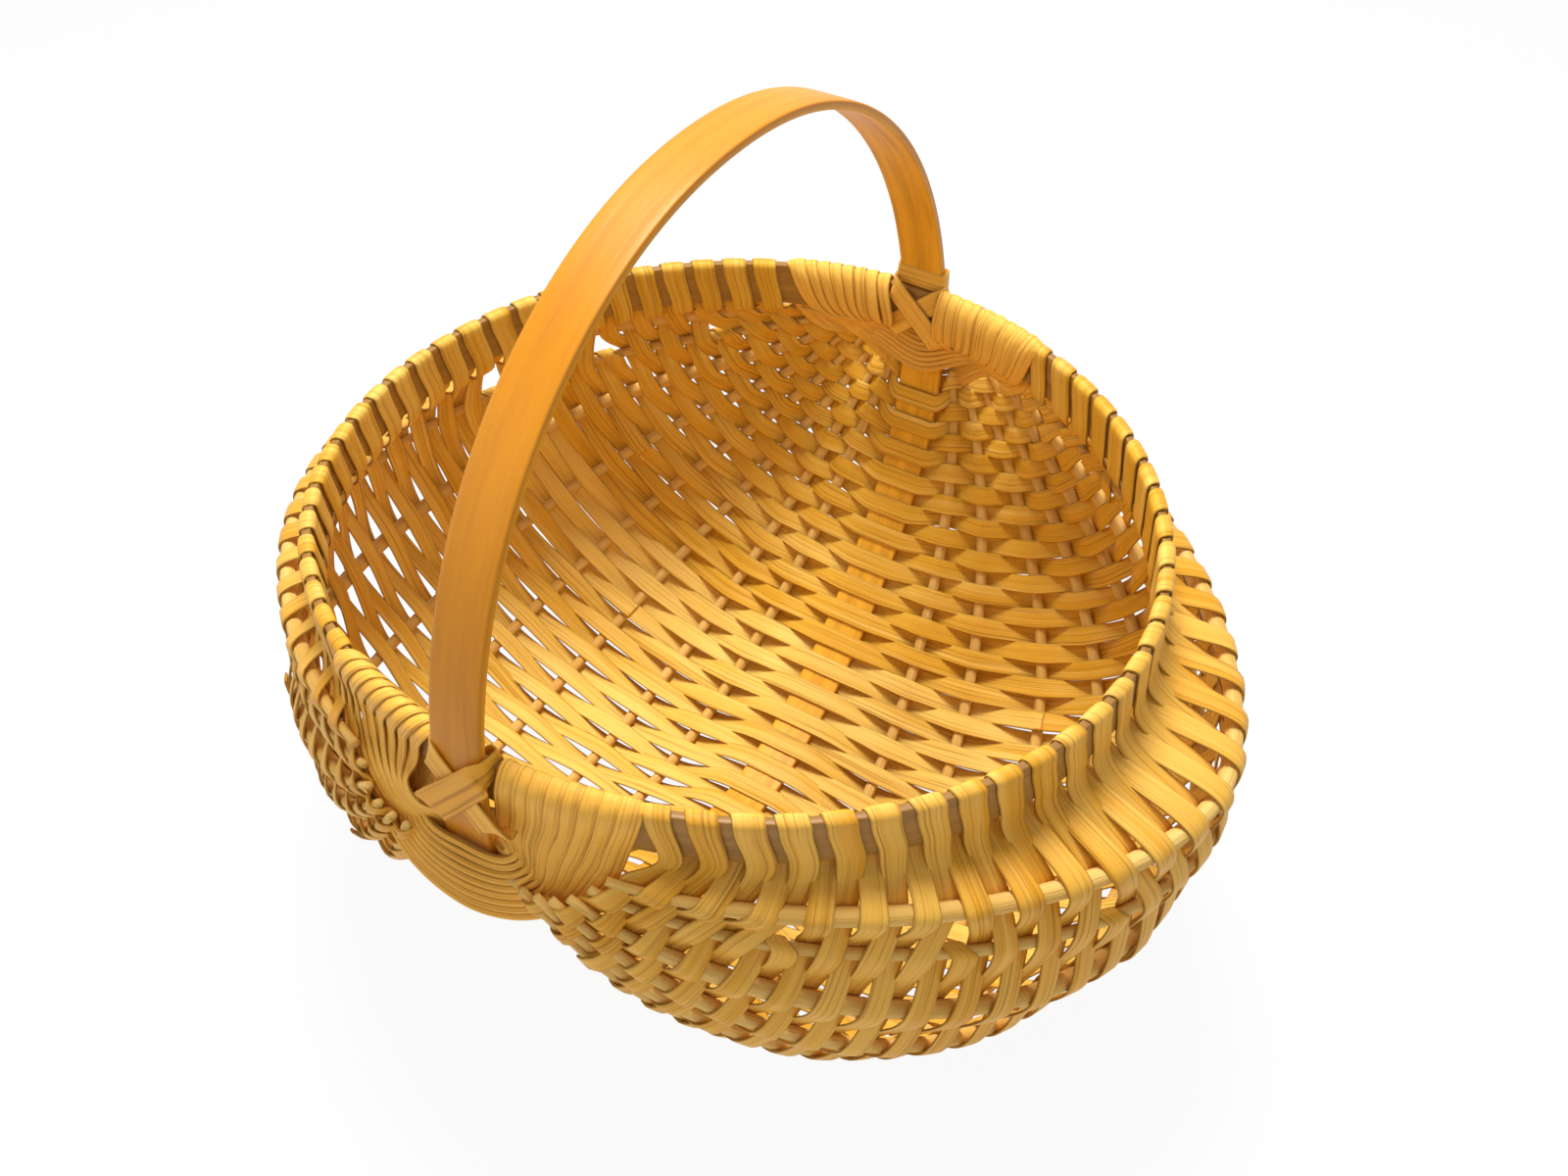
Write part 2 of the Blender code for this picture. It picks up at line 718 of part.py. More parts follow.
def main():
    for old in list(bpy.data.objects):
        bpy.data.objects.remove(old)
    warps = basket_warps()
    pieces = [
        ("handle_hoop", hoop_mesh(hoop_point, HOOP_WIDTH / 2, HOOP_THICKNESS / 2, ACROSS), WOOD),
        ("rim_hoop", hoop_mesh(rim_point, RIM_HEIGHT / 2, RIM_THICKNESS / 2, UP), WOOD),
    ]
    for i, warp in enumerate(warps):
        if warp.kind == "rib":
            side = "right" if warp.points[1].x > 0 else "left"
            number = i if side == "right" else len(warps) - 1 - i
            pieces.append((f"{side}_rib_{number}", rib_mesh(warp), RIB_REED))
    for n, mesh in enumerate(wall_weavers(warps)):
        pieces.append((f"weaver_{n + 1:02d}", mesh, WEAVER_REED))
    ear_pieces = (
        ("ear_weaver", ear_weaver(warps)),
        ("cross_lash_inner", lash_loop(1, 0)),
        ("cross_lash_outer", lash_loop(-1, 1)),
        ("handle_band", band_mesh()),
    )
    for name, mesh in ear_pieces:
        pieces.append((f"front_{name}", mesh, LASH_REED))
        pieces.append((f"back_{name}", turned_round(mesh), LASH_REED))
    lowest = min(p.z for _, (points, _), _ in pieces for p in points)
    lift = -lowest - FOOT_DEPTH
    for name, mesh, colour in pieces:
        add_piece(name, mesh, lift, colour)
    print("lift", round(lift, 5), "rim top", round(lift + RIM_LEVEL + RIM_HEIGHT / 2, 5))


main()
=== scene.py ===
import math
import random
from bisect import bisect_right

import bpy
import numpy as np
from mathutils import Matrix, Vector


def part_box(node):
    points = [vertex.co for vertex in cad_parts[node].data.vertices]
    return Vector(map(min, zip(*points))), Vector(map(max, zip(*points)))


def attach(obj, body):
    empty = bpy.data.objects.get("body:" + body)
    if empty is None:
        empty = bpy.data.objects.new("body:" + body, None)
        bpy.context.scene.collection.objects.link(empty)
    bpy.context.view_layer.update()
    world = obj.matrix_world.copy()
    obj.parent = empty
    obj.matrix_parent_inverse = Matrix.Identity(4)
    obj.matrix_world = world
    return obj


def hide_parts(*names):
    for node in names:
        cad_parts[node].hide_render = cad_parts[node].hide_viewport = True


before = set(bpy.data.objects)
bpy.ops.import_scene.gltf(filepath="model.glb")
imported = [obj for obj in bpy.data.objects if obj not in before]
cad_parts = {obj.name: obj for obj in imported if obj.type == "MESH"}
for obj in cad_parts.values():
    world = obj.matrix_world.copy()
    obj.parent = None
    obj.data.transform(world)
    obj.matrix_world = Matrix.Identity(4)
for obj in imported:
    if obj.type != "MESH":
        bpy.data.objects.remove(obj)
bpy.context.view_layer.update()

# The forms that the solids were made from, in metres, with heights from the handle hoop's widest level

HOOP_HALF_LENGTH, HANDLE_RISE, KEEL_DROP = 0.148, 0.168, 0.1455
HOOP_WIDTH, HOOP_THICKNESS = 0.019, 0.0035
HANDLE_ROUNDNESS, KEEL_ROUNDNESS = 2.11, 1.76
RIM_HALF_WIDTH, RIM_LEVEL, RIM_DIP = 0.1545, 0.0283, 0.007
RIM_HEIGHT, RIM_THICKNESS = 0.019, 0.0035
HOOP_GAP = 0.0007
RIB_MIDDLE_ANGLES = (15.0, 21.5, 30.5, 40.5, 49.5, 58.5, 68.5, 77.0)
RIB_TIP_ANGLES = (29.0, 35.3, 41.6, 47.9, 54.2, 60.5, 66.8, 73.0)
RIB_RADII = (0.0032, 0.0020, 0.0032, 0.0025, 0.0025, 0.0025, 0.0025, 0.0025)
RIB_TIP_RADIUS, RIB_TAPER = 0.0015, 0.055
FAN_START, FAN_ROUNDNESS = 0.35, 2.0
LOBE_AXIS_LEVEL, LOBE_HALF_LENGTH, LOBE_REACH = 0.0397, 0.1555, 0.224
LOBE_ANGLES = (0.0, 20.0, 40.0, 60.0, 75.0, 90.0)
LOBE_REACH_SHARES = (0.76, 0.91, 0.963, 0.94, 0.894, 0.814)
LOBE_ROUNDNESS = (1.65, 1.75, 2.26, 2.29, 1.8, 2.2)
EAR_ON_RIM, EAR_ON_TOP, EAR_ON_KEEL = 0.062, 0.082, 0.0385
RIM_TURNS, SHORT_RIB, SHORT_PAIRS = 26, 2, (3, 6, 9, 16, 19, 22)
ROWS_PER_WEAVER = 4
SPLICE_RIBS = ((4, 5), (12, 13), (6, 7), (14, 15), (5, 6), (11, 12), (3, 4), (13, 14))
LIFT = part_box("rim_hoop")[1].z - RIM_LEVEL - RIM_HEIGHT / 2

# The real reed: its thickness, its width in each place and how it is laid

REED = 0.00105
STRIP_WIDTH, WRAP_WIDTH, EAR_WIDTH, BAND_WIDTH = 0.0088, 0.0098, 0.0082, 0.0088
FAR_RIGHT_BREADTH = 1.16
# The two lashes by the way they lean, and how much of its width each corner keeps.
LASH_WIDTHS, LASH_SHARES = {-1: 0.0125, 1: 0.0130}, (1.0, 0.9, 0.75, 0.8)
# An ear's row at its far and near spot, broader on the face that the photograph shows.
SEEN_LEAF, HIDDEN_LEAF = (0.0070, 0.0036), (0.0050, 0.0025)
TUCK_THICKNESS, KEEL_FOLD_WIDTH, KEEL_FOLD_THICKNESS = 0.0018, 0.0023, 0.0020
# How far the middle of a strip bulges over its edges.
WRAP_CROWN, EAR_CROWN, CREST_CROWN, FOLD_CROWN = 0.00025, 0.0004, 0.0007, 0.0009
EAR_TURNS, EAR_WRAP_START, EAR_WRAP_END = 9, 0.0112, 0.0013
FAR_SPREAD = 1.25
CREST_LEAN_BACK, CREST_LEAN = 0.0003, 0.00012
# Room between reed and wood, and between two layers of reed.
REED_PLAY, REED_REST, RIM_PLAY, LAYER_PLAY = 0.00015, 0.0002, 0.0003, 0.00012
RIM_EDGE_OVERLAP, RIM_EDGE_BEND = 0.0004, 0.0012
ROW_WOBBLE, EAR_WOBBLE = 0.0004, 0.0003
SPLICE_TAIL = (0.0025, 0.0045)
RIB_TUCK, RIB_END_GAP, WEFT_START = 0.016, 0.003, 0.0030
WALL_SLACK, KEEL_SLACK, EAR_SLACK = 0.75, 0.9, 0.95
NEAR_LEAN, FAR_LEAN = -0.12, 0.32
WALL_SQUEEZE = 0.35

# How finely the paths are read and the reed is drawn

RIM_STEPS, KEEL_STEPS, LOBE_STEPS, RIB_STEPS, HOOP_STEPS = 120, 160, 300, 100, 260
WALL_FINENESS, EAR_FINENESS, LASH_FINENESS = 0.0026, 0.0014, 0.0012

# The light of the room and the floor

ROOM_LIGHT, FLOOR_GLOW = 0.29, 0.93
FLOOR_REACH, FLOOR_LEVEL = 6, -0.0002

MILLIMETRE, MERGE_DISTANCE, SHORT_SPAN = 0.001, 0.000001, 0.0015
SEED_SPREAD = 97.0
MIDDLE = (0, 0, LIFT - 0.03)
ACROSS = Vector((1, 0, 0))
UP = Vector((0, 0, 1))


def signed_power(value, power):
    return math.copysign(abs(value) ** power, value)


def blended(places, values, place):
    last = len(places) - 1
    place = min(max(place, places[0]), places[last])
    i = min(sum(1 for p in places[1:last] if p <= place), last - 1)
    slopes = [(values[k + 1] - values[k]) / (places[k + 1] - places[k]) for k in range(last)]
    start = slopes[i] if i == 0 else (slopes[i - 1] + slopes[i]) / 2
    end = slopes[i] if i == last - 1 else (slopes[i] + slopes[i + 1]) / 2
    span = places[i + 1] - places[i]
    t = (place - places[i]) / span
    rise = values[i + 1] - values[i]
    return values[i] + rise * t * t * (3 - 2 * t) + span * t * (1 - t) * (start * (1 - t) - end * t)


def hoop_point(turn):
    angle = 2 * math.pi * turn
    rise, round_ = (HANDLE_RISE, HANDLE_ROUNDNESS) if math.sin(angle) > 0 else (KEEL_DROP, KEEL_ROUNDNESS)
    y = HOOP_HALF_LENGTH * signed_power(math.cos(angle), 2 / round_)
    return Vector((0, y, rise * signed_power(math.sin(angle), 2 / round_)))


def hoop_y(level):
    return HOOP_HALF_LENGTH * (1 - (level / HANDLE_RISE) ** HANDLE_ROUNDNESS) ** (1 / HANDLE_ROUNDNESS)


RIM_HALF_LENGTH = hoop_y(RIM_LEVEL + RIM_HEIGHT / 2) - HOOP_THICKNESS / 2 - HOOP_GAP - RIM_THICKNESS / 2


def rim_point(turn):
    angle = 2 * math.pi * turn
    across = math.sin(angle)
    level = RIM_LEVEL - RIM_DIP * across * across
    return Vector((RIM_HALF_WIDTH * across, -RIM_HALF_LENGTH * math.cos(angle), level))


def lobe_point(side, turn, tip_angle, middle_angle):
    swing = math.pi * turn
    share = max(math.sin(swing), 0.0)
    fan = min((1 - share) / (1 - FAN_START), 1.0) ** FAN_ROUNDNESS
    slope = math.radians(middle_angle + (tip_angle - middle_angle) * fan)
    power = 2 / blended(LOBE_ANGLES, LOBE_ROUNDNESS, middle_angle)
    out = LOBE_REACH * blended(LOBE_ANGLES, LOBE_REACH_SHARES, middle_angle) * share**power
    y = -LOBE_HALF_LENGTH * signed_power(math.cos(swing), power)
    return Vector((side * out * math.cos(slope), y, LOBE_AXIS_LEVEL - out * math.sin(slope)))


class Warp:
    """A hoop or rib that the reed crosses, read by the distance from its front end."""

    def __init__(self, points, half_thickness, half_height, kind, ear):
        self.points, self.kind, self.ear = points, kind, ear
        self.half_thickness, self.half_height = half_thickness, half_height
        self.marks = [0.0]
        for a, b in zip(points, points[1:]):
            self.marks.append(self.marks[-1] + (b - a).length)
        self.length = self.marks[-1]
        steps = [(b - a).normalized() for a, b in zip(points, points[1:])]
        self.tangents = [steps[0]] + [(a + b).normalized() for a, b in zip(steps, steps[1:])] + [steps[-1]]

    def at(self, distance):
        i = min(max(bisect_right(self.marks, distance) - 1, 0), len(self.points) - 2)
        t = (distance - self.marks[i]) / (self.marks[i + 1] - self.marks[i])
        ease = min(max(t, 0.0), 1.0)
        tangent = self.tangents[i].lerp(self.tangents[i + 1], ease).normalized()
        return self.points[i].lerp(self.points[i + 1], t), tangent

    def radius(self, distance):
        if self.kind != "rib":
            return self.half_thickness
        share = min(max(min(distance, self.length - distance) - RIB_TUCK, 0.0) / RIB_TAPER, 1.0)
        return RIB_TIP_RADIUS + (self.half_thickness - RIB_TIP_RADIUS) * math.sin(share * math.pi / 2)


def rim_warp(side):
    points = [rim_point(side * k / (2 * RIM_STEPS)) for k in range(RIM_STEPS + 1)]
    return Warp(points, RIM_THICKNESS / 2, RIM_HEIGHT / 2, "rim", EAR_ON_RIM)


def keel_warp():
    start = math.asin((RIM_LEVEL / HANDLE_RISE) ** (HANDLE_ROUNDNESS / 2)) / (2 * math.pi)
    turns = 0.5 + 2 * start
    points = [hoop_point(0.5 - start + turns * k / KEEL_STEPS) for k in range(KEEL_STEPS + 1)]
    return Warp(points, HOOP_THICKNESS / 2, HOOP_WIDTH / 2, "keel", EAR_ON_KEEL)


def ear_reach(angle):
    on_keel = EAR_ON_KEEL + LOBE_AXIS_LEVEL - RIM_LEVEL
    return EAR_ON_TOP + (on_keel - EAR_ON_TOP) * angle / 90


def rib_warp(side, k):
    angles = RIB_TIP_ANGLES[k], RIB_MIDDLE_ANGLES[k]
    whole = Warp([lobe_point(side, i / LOBE_STEPS, *angles) for i in range(LOBE_STEPS + 1)], 0, 0, "lobe", 0.0)
    start = ear_reach(RIB_TIP_ANGLES[k]) + RIB_END_GAP - RIB_TUCK
    span = whole.length - 2 * start
    points = [whole.at(start + span * i / RIB_STEPS)[0] for i in range(RIB_STEPS + 1)]
    return Warp(points, RIB_RADII[k], RIB_RADII[k], "rib", WEFT_START)


class Crossing:
    """One pass of the reed over a warp, outside it for sign 1 and inside it for sign -1."""

    def __init__(self, warp, distance, pitch, sign, row, index):
        self.warp, self.distance, self.pitch = warp, distance, pitch
        self.sign, self.row, self.index = sign, row, index
        self.point, self.along = warp.at(distance)
        self.turn = None

    @property
    def flip(self):
        return 1 if self.row % 2 == 0 else -1


def weave_path(warps, turns, rng):
    """All passes of one continuous reed that goes back and forth between its turns."""
    rows = list(zip(turns, turns[1:]))
    cover = [[r for r, pair in enumerate(rows) if min(pair) <= i <= max(pair)] for i in range(len(warps))]
    path = []
    for r, (a, b) in enumerate(rows):
        step = 1 if b > a else -1
        for i in range(a, b + step, step):
            start, end = warps[i].ear, warps[i].length - warps[i].ear
            pitch = (end - start) / len(cover[i])
            distance = start + pitch * (cover[i].index(r) + 0.5) + rng.uniform(-ROW_WOBBLE, ROW_WOBBLE)
            path.append(Crossing(warps[i], distance, pitch, 1 if (i + r) % 2 == 0 else -1, r, i))
    for first, second in zip(path, path[1:]):
        if first.warp is second.warp:
            first.turn, second.turn = second, first
    return path


def set_outward(path):
    """Gives each pass the wall's outward direction there, and its distance from the warp's middle."""
    for i, c in enumerate(path):
        before, after = path[max(i - 1, 0)], path[min(i + 1, len(path) - 1)]
        if c.turn is not None and c.warp.kind == "rib":
            after = before if after.row != c.row else after
            before = c
        if c.warp.kind == "rim":
            out = c.along.cross(UP)
        elif c.warp.kind == "keel":
            out = c.along.cross(ACROSS)
        else:
            out = c.along.cross(after.point - before.point)
        out.normalize()
        away = Vector((c.point.x, c.point.y, c.point.z - LOBE_AXIS_LEVEL))
        c.out = out if out.dot(away) > 0 else -out
        c.offset = c.warp.radius(c.distance) + REED / 2 + REED_PLAY


# Reed laid along its path

class Knot:
    """A place that the reed is drawn through, with the way it heads and faces there."""

    def __init__(self, place, face, heading, width, loose=0, side=None, thick=REED, crown=Vector(), slack=1.1):
        self.place, self.heading = place, heading.normalized()
        self.side = side if side is not None else self.heading.cross(face).normalized()
        self.width, self.loose, self.thick, self.crown, self.slack = width, loose, thick, crown, slack
        self.pitch = width

    def moved(self, step):
        shape = self.width, self.loose, self.side, self.thick, self.crown, self.slack
        knot = Knot(self.place + step, None, self.heading, *shape)
        knot.pitch = self.pitch
        return knot


def around_rim(a, b, wide, rng):
    """Up one face of the rim, over its top edge and down the other face."""
    half = a.warp.half_height
    low, high = UP * (half + RIM_EDGE_OVERLAP), UP * (half - RIM_EDGE_BEND)
    crest = UP * (half + REED / 2 + REED_REST)
    lean = rng.uniform(-0.05, 0.05)
    face_a, face_b = a.out * a.sign, b.out * b.sign
    side = UP.cross(face_a * (a.flip * a.sign)).normalized()
    middle = a.point.lerp(b.point, 0.5)
    near_a, near_b = a.point.lerp(b.point, 0.4 + lean), a.point.lerp(b.point, 0.6 + lean)
    foot_wide = wide * rng.uniform(0.9, 0.97)
    return [
        Knot(a.point + face_a * a.offset - low, None, UP, foot_wide, side=side),
        Knot(near_a + face_a * a.offset + high, None, UP, wide, side=side, crown=face_a * WRAP_CROWN),
        Knot(middle + crest, None, face_b, wide, side=side, crown=UP * WRAP_CROWN),
        Knot(near_b + face_b * b.offset + high, None, -UP, wide, side=side, crown=face_b * WRAP_CROWN),
        Knot(b.point + face_b * b.offset - low, None, -UP, foot_wide, side=side),
    ]


def around_rib(first, second, came_from, wide):
    """Round a rib, where a short row turns back."""
    radius = first.warp.radius(first.distance) + REED / 2 + REED_REST
    back = first.out.cross(first.along).normalized()
    if back.dot(first.point - came_from) < 0:
        back = -back
    s = first.flip * first.sign
    mid = first.point.lerp(second.point, 0.5)
    return [
        Knot(first.point + first.out * first.sign * radius, first.out * first.sign * s, back, wide),
        Knot(mid + back * radius, back * s, second.out * second.sign, wide * 0.9),
        Knot(second.point + second.out * second.sign * radius, second.out * second.sign * s, -back, wide),
    ]


def wall_knots(path, rng):
    """Knots of the wall's reed, and the range of knots of each pass."""
    knots, ranges = [], {}
    i = 0
    while i < len(path):
        c = path[i]
        begin = len(knots)
        wide = STRIP_WIDTH * rng.uniform(0.93, 1.04)
        after = path[min(i + 1, len(path) - 1)]
        before = path[max(i - 1, 0)]
        if c.turn is after:
            if c.warp.kind == "rim":
                broad = FAR_RIGHT_BREADTH if c.point.x > 0 and c.point.y > 0.0 else 1.0
                knots += around_rim(c, after, WRAP_WIDTH * broad * rng.uniform(0.94, 1.03), rng)
                half = 2
            else:
                knots += around_rib(c, after, before.point, wide)
                half = 1
            knots[-1].loose = after.flip
            ranges[i] = (begin, begin + half)
            ranges[i + 1] = (begin + half, len(knots))
            i += 2
            continue
        heading = after.point - before.point
        face = c.out * c.flip
        place = c.point + c.out * (c.sign * c.offset)
        if c.warp.kind == "rim":
            way = 1 if i == 0 else -1
            ghost = Crossing(c.warp, c.distance - c.pitch * way, c.pitch, -c.sign, c.row - way, c.index)
            ghost.out, ghost.offset = c.out, c.offset
            knots += around_rim(ghost, c, wide, rng) if i == 0 else around_rim(c, ghost, wide, rng)
            knots[-1].loose = c.flip if i == 0 else 0
        elif c.warp.kind == "keel":
            side = ACROSS * math.copysign(c.warp.half_height * 0.93, heading.x)
            way = side.normalized() + heading.normalized()
            knots.append(Knot(place - side, face, way, wide, slack=KEEL_SLACK))
            knots.append(Knot(place + side, face, way, wide, c.flip, slack=KEEL_SLACK))
        else:
            knots.append(Knot(place, face, heading, wide, c.flip, slack=WALL_SLACK))
        ranges[i] = (begin, len(knots))
        i += 1
    for i, c in enumerate(path):
        for k in range(*ranges[i]):
            knots[k].pitch = c.pitch
    return knots, ranges


def drawn(knots, fine, rng=None):
    """Rings of the reed, about as far apart as fine says, on a smooth curve through its knots."""
    rings = []
    travelled = 0.0
    for a, b in zip(knots, knots[1:]):
        chord = (b.place - a.place).length
        if chord < MERGE_DISTANCE:
            continue
        steps = max(3 if chord > SHORT_SPAN else 2, math.ceil(chord / fine))
        pull_a, pull_b = a.heading * chord * a.slack, b.heading * chord * b.slack
        squeeze = lean = 0.0
        if a.loose:
            pitch = (a.pitch + b.pitch) / 2
            narrow = min(pitch * 0.98, a.width)
            change = (FAR_LEAN - NEAR_LEAN) * (a.place.y + HOOP_HALF_LENGTH) / (2 * HOOP_HALF_LENGTH)
            lean = a.loose * rng.uniform(0.75, 1.2) * (NEAR_LEAN + change)
            squeeze = (1 - min(narrow / math.cos(lean), a.width) / a.width) * WALL_SQUEEZE
        last = (a, b) == (knots[-2], knots[-1])
        for k in range(steps + (1 if last else 0)):
            t = k / steps
            t2, t3 = t * t, t * t * t
            place = a.place * (2 * t3 - 3 * t2 + 1) + pull_a * (t3 - 2 * t2 + t)
            place += b.place * (3 * t2 - 2 * t3) + pull_b * (t3 - t2)
            ahead = a.place * (6 * t2 - 6 * t) + pull_a * (3 * t2 - 4 * t + 1)
            ahead += b.place * (6 * t - 6 * t2) + pull_b * (3 * t2 - 2 * t)
            ease = t2 * (3 - 2 * t)
            side = a.side.lerp(b.side, ease).normalized()
            face = side.cross(ahead).normalized()
            bell = min(1.0, 1.5 * math.sin(math.pi * t) ** 2)
            if lean:
                roll = lean * math.sin(math.pi * t) ** 2
                cos, sin = math.cos(roll), math.sin(roll)
                face, side = face * cos + side * sin, side * cos - face * sin
            wide = (a.width + (b.width - a.width) * ease) * (1 - squeeze * bell)
            thick = a.thick + (b.thick - a.thick) * ease
            crown = a.crown.lerp(b.crown, ease)
            rings.append((place, side * (wide / 2), face * (thick / 2), travelled + chord * t, crown))
        travelled += chord
    return rings


# Meshes swept along their paths by geometry nodes

def node(tree, kind, values=(), **settings):
    """A new node with its settings, and a link or a constant on each named socket."""
    made = tree.nodes.new(kind)
    for key, value in settings.items():
        setattr(made, key, value)
    for key, value in dict(values).items():
        if isinstance(value, bpy.types.NodeSocket):
            tree.links.new(value, made.inputs[key])
        else:
            made.inputs[key].default_value = value
    return made


def sweep_tree(closed):
    """A tube or strip through the points of a path: each point holds half its width and thickness."""
    tree = bpy.data.node_groups.new("closed_sweep" if closed else "open_sweep", "GeometryNodeTree")
    face = tree.interface
    face.new_socket("Path", in_out="INPUT", socket_type="NodeSocketGeometry")
    for name, kind, value in (
        ("Sides", "NodeSocketInt", 12),
        ("Squareness", "NodeSocketFloat", 0.5),
        ("Edge Wander", "NodeSocketFloat", 0.0),
        ("Wander Pace", "NodeSocketFloat", 60.0),
        ("Seed", "NodeSocketFloat", 0.0),
    ):
        face.new_socket(name, in_out="INPUT", socket_type=kind).default_value = value
    face.new_socket("Finish", in_out="INPUT", socket_type="NodeSocketMaterial")
    face.new_socket("Geometry", in_out="OUTPUT", socket_type="NodeSocketGeometry")
    given = node(tree, "NodeGroupInput").outputs
    sides = given["Sides"]

    def maths(operation, *values):
        return node(tree, "ShaderNodeMath", dict(enumerate(values)), operation=operation).outputs[0]

    def vectors(operation, *values, out=0):
        return node(tree, "ShaderNodeVectorMath", dict(enumerate(values)), operation=operation).outputs[out]

    def scaled(vector, by):
        return node(tree, "ShaderNodeVectorMath", {0: vector, "Scale": by}, operation="SCALE").outputs[0]

    size = node(tree, "GeometryNodeAttributeDomainSize", {"Geometry": given["Path"]}, component="MESH")
    count = size.outputs["Point Count"]
    spans = count if closed else maths("SUBTRACT", count, 1.0)
    tube = node(
        tree,
        "GeometryNodeMeshCylinder",
        {"Vertices": sides, "Side Segments": spans, "Radius": 1.0, "Depth": 1.0},
        fill_type="NONE" if closed else "NGON",
    ).outputs["Mesh"]
    index = node(tree, "GeometryNodeInputIndex").outputs[0]
    ring = maths("FLOOR", maths("DIVIDE", maths("ADD", index, 0.5), sides))
    column = maths("SUBTRACT", index, maths("MULTIPLY", ring, sides))
    wrapped = maths("FLOORED_MODULO", ring, count) if closed else ring
    angle = maths("MULTIPLY", maths("DIVIDE", maths("ADD", column, 0.5), sides), -2 * math.pi)

    def sampled(field, kind):
        """What a field says at the path's point that this ring belongs to."""
        values = {"Geometry": given["Path"], "Value": field, "Index": wrapped}
        return node(tree, "GeometryNodeSampleIndex", values, data_type=kind, domain="POINT").outputs[0]

    def from_path(name, kind):
        held = node(tree, "GeometryNodeInputNamedAttribute", {"Name": name}, data_type=kind)
        return sampled(held.outputs["Attribute"], kind)

    place = sampled(node(tree, "GeometryNodeInputPosition").outputs[0], "FLOAT_VECTOR")
    side, face_way, crown = (from_path(name, "FLOAT_VECTOR") for name in ("side", "face", "crown"))
    along, tone = from_path("along", "FLOAT"), from_path("tone", "FLOAT")

    def squared(wave):
        power = maths("POWER", maths("ABSOLUTE", wave), given["Squareness"])
        return maths("MULTIPLY", power, maths("SIGN", wave))

    across, above = squared(maths("COSINE", angle)), squared(maths("SINE", angle))
    pace = maths("MULTIPLY", along, given["Wander Pace"])
    drift = node(tree, "ShaderNodeCombineXYZ", {"X": pace, "Y": maths("SIGN", across), "Z": given["Seed"]})
    noise = node(tree, "ShaderNodeTexNoise", {"Vector": drift.outputs[0], "Scale": 1.0, "Detail": 2.0})
    swing = maths("SUBTRACT", noise.outputs[0], 0.5)
    wander = maths("ADD", maths("MULTIPLY", swing, given["Edge Wander"]), 1.0)
    edge = vectors("ADD", scaled(side, maths("MULTIPLY", across, wander)), scaled(face_way, above))
    bulge = scaled(crown, maths("SUBTRACT", 0.5, maths("MULTIPLY", across, across)))
    spot = vectors("ADD", vectors("ADD", place, edge), bulge)
    shaped = node(tree, "GeometryNodeSetPosition", {"Geometry": tube, "Position": spot}).outputs[0]
    # How far a face looks out from the basket's middle: the mask that lays the reed's painted outer shade.
    away, facing = vectors("SUBTRACT", place, MIDDLE), vectors("NORMALIZE", face_way)
    outward = maths("MULTIPLY", above, vectors("DOT_PRODUCT", away, facing, out="Value"))
    kept = {"along": along, "across": across, "above": above, "tone": tone, "outward": outward}
    for name, value in kept.items():
        values = {"Geometry": shaped, "Name": name, "Value": value}
        stored = node(tree, "GeometryNodeStoreNamedAttribute", values, data_type="FLOAT", domain="POINT")
        shaped = stored.outputs[0]
    if closed:
        values = {"Geometry": shaped, "Distance": MERGE_DISTANCE}
        shaped = node(tree, "GeometryNodeMergeByDistance", values).outputs[0]
    smooth = node(tree, "GeometryNodeSetShadeSmooth", {"Geometry": shaped, "Shade Smooth": True}).outputs[0]
    real = node(tree, "GeometryNodeRealizeInstances", {"Geometry": smooth}).outputs[0]
    finished = node(tree, "GeometryNodeSetMaterial", {"Geometry": real, "Material": given["Finish"]}).outputs[0]
    tree.links.new(finished, node(tree, "NodeGroupOutput").inputs[0])
    return tree


SWEEPS = {closed: sweep_tree(closed) for closed in (False, True)}


def path_mesh(name, rings, tone):
    """The points of a path, each with the half sides of its ring as attributes."""
    mesh = bpy.data.meshes.new(name)
    mesh.vertices.add(len(rings))
    places = np.array([r[0] + UP * LIFT for r in rings], np.float32)
    mesh.vertices.foreach_set("co", places.ravel())
    for key, column in (("side", 1), ("face", 2), ("crown", 4)):
        held = mesh.attributes.new(key, "FLOAT_VECTOR", "POINT")
        held.data.foreach_set("vector", np.array([r[column] for r in rings], np.float32).ravel())
    for key, values in (("along", [r[3] for r in rings]), ("tone", [tone] * len(rings))):
        held = mesh.attributes.new(key, "FLOAT", "POINT")
        held.data.foreach_set("value", np.array(values, np.float32))
    return mesh


def made_plain(obj, name, tree, values):
    """Runs a node tree on an object and keeps only the mesh that comes out."""
    modifier = obj.modifiers.new("shape", "NODES")
    modifier.node_group = tree
    for item in tree.interface.items_tree:
        if item.item_type == "SOCKET" and item.in_out == "INPUT" and item.name in values:
            modifier[item.identifier] = values[item.name]
    bpy.context.view_layer.update()
    graph = bpy.context.evaluated_depsgraph_get()
    mesh = bpy.data.meshes.new_from_object(obj.evaluated_get(graph))
    obj.modifiers.remove(modifier)
    bpy.data.objects.remove(obj)
    mesh.name = name
    made = bpy.data.objects.new(name, mesh)
    bpy.context.scene.collection.objects.link(made)
    return made


def swept(name, rings, finish, tone, sides=12, squareness=0.5, closed=False, wander=0.05, pace=60.0):
    """A piece swept along its rings: squareness 1 is round and 0 has square corners."""
    obj = bpy.data.objects.new(name + "_path", path_mesh(name + "_path", rings, tone))
    bpy.context.scene.collection.objects.link(obj)
    values = {"Sides": sides, "Squareness": squareness, "Edge Wander": wander, "Wander Pace": pace}
    values |= {"Seed": tone * SEED_SPREAD, "Finish": finish}
    return made_plain(obj, name, SWEEPS[closed], values)


# Materials

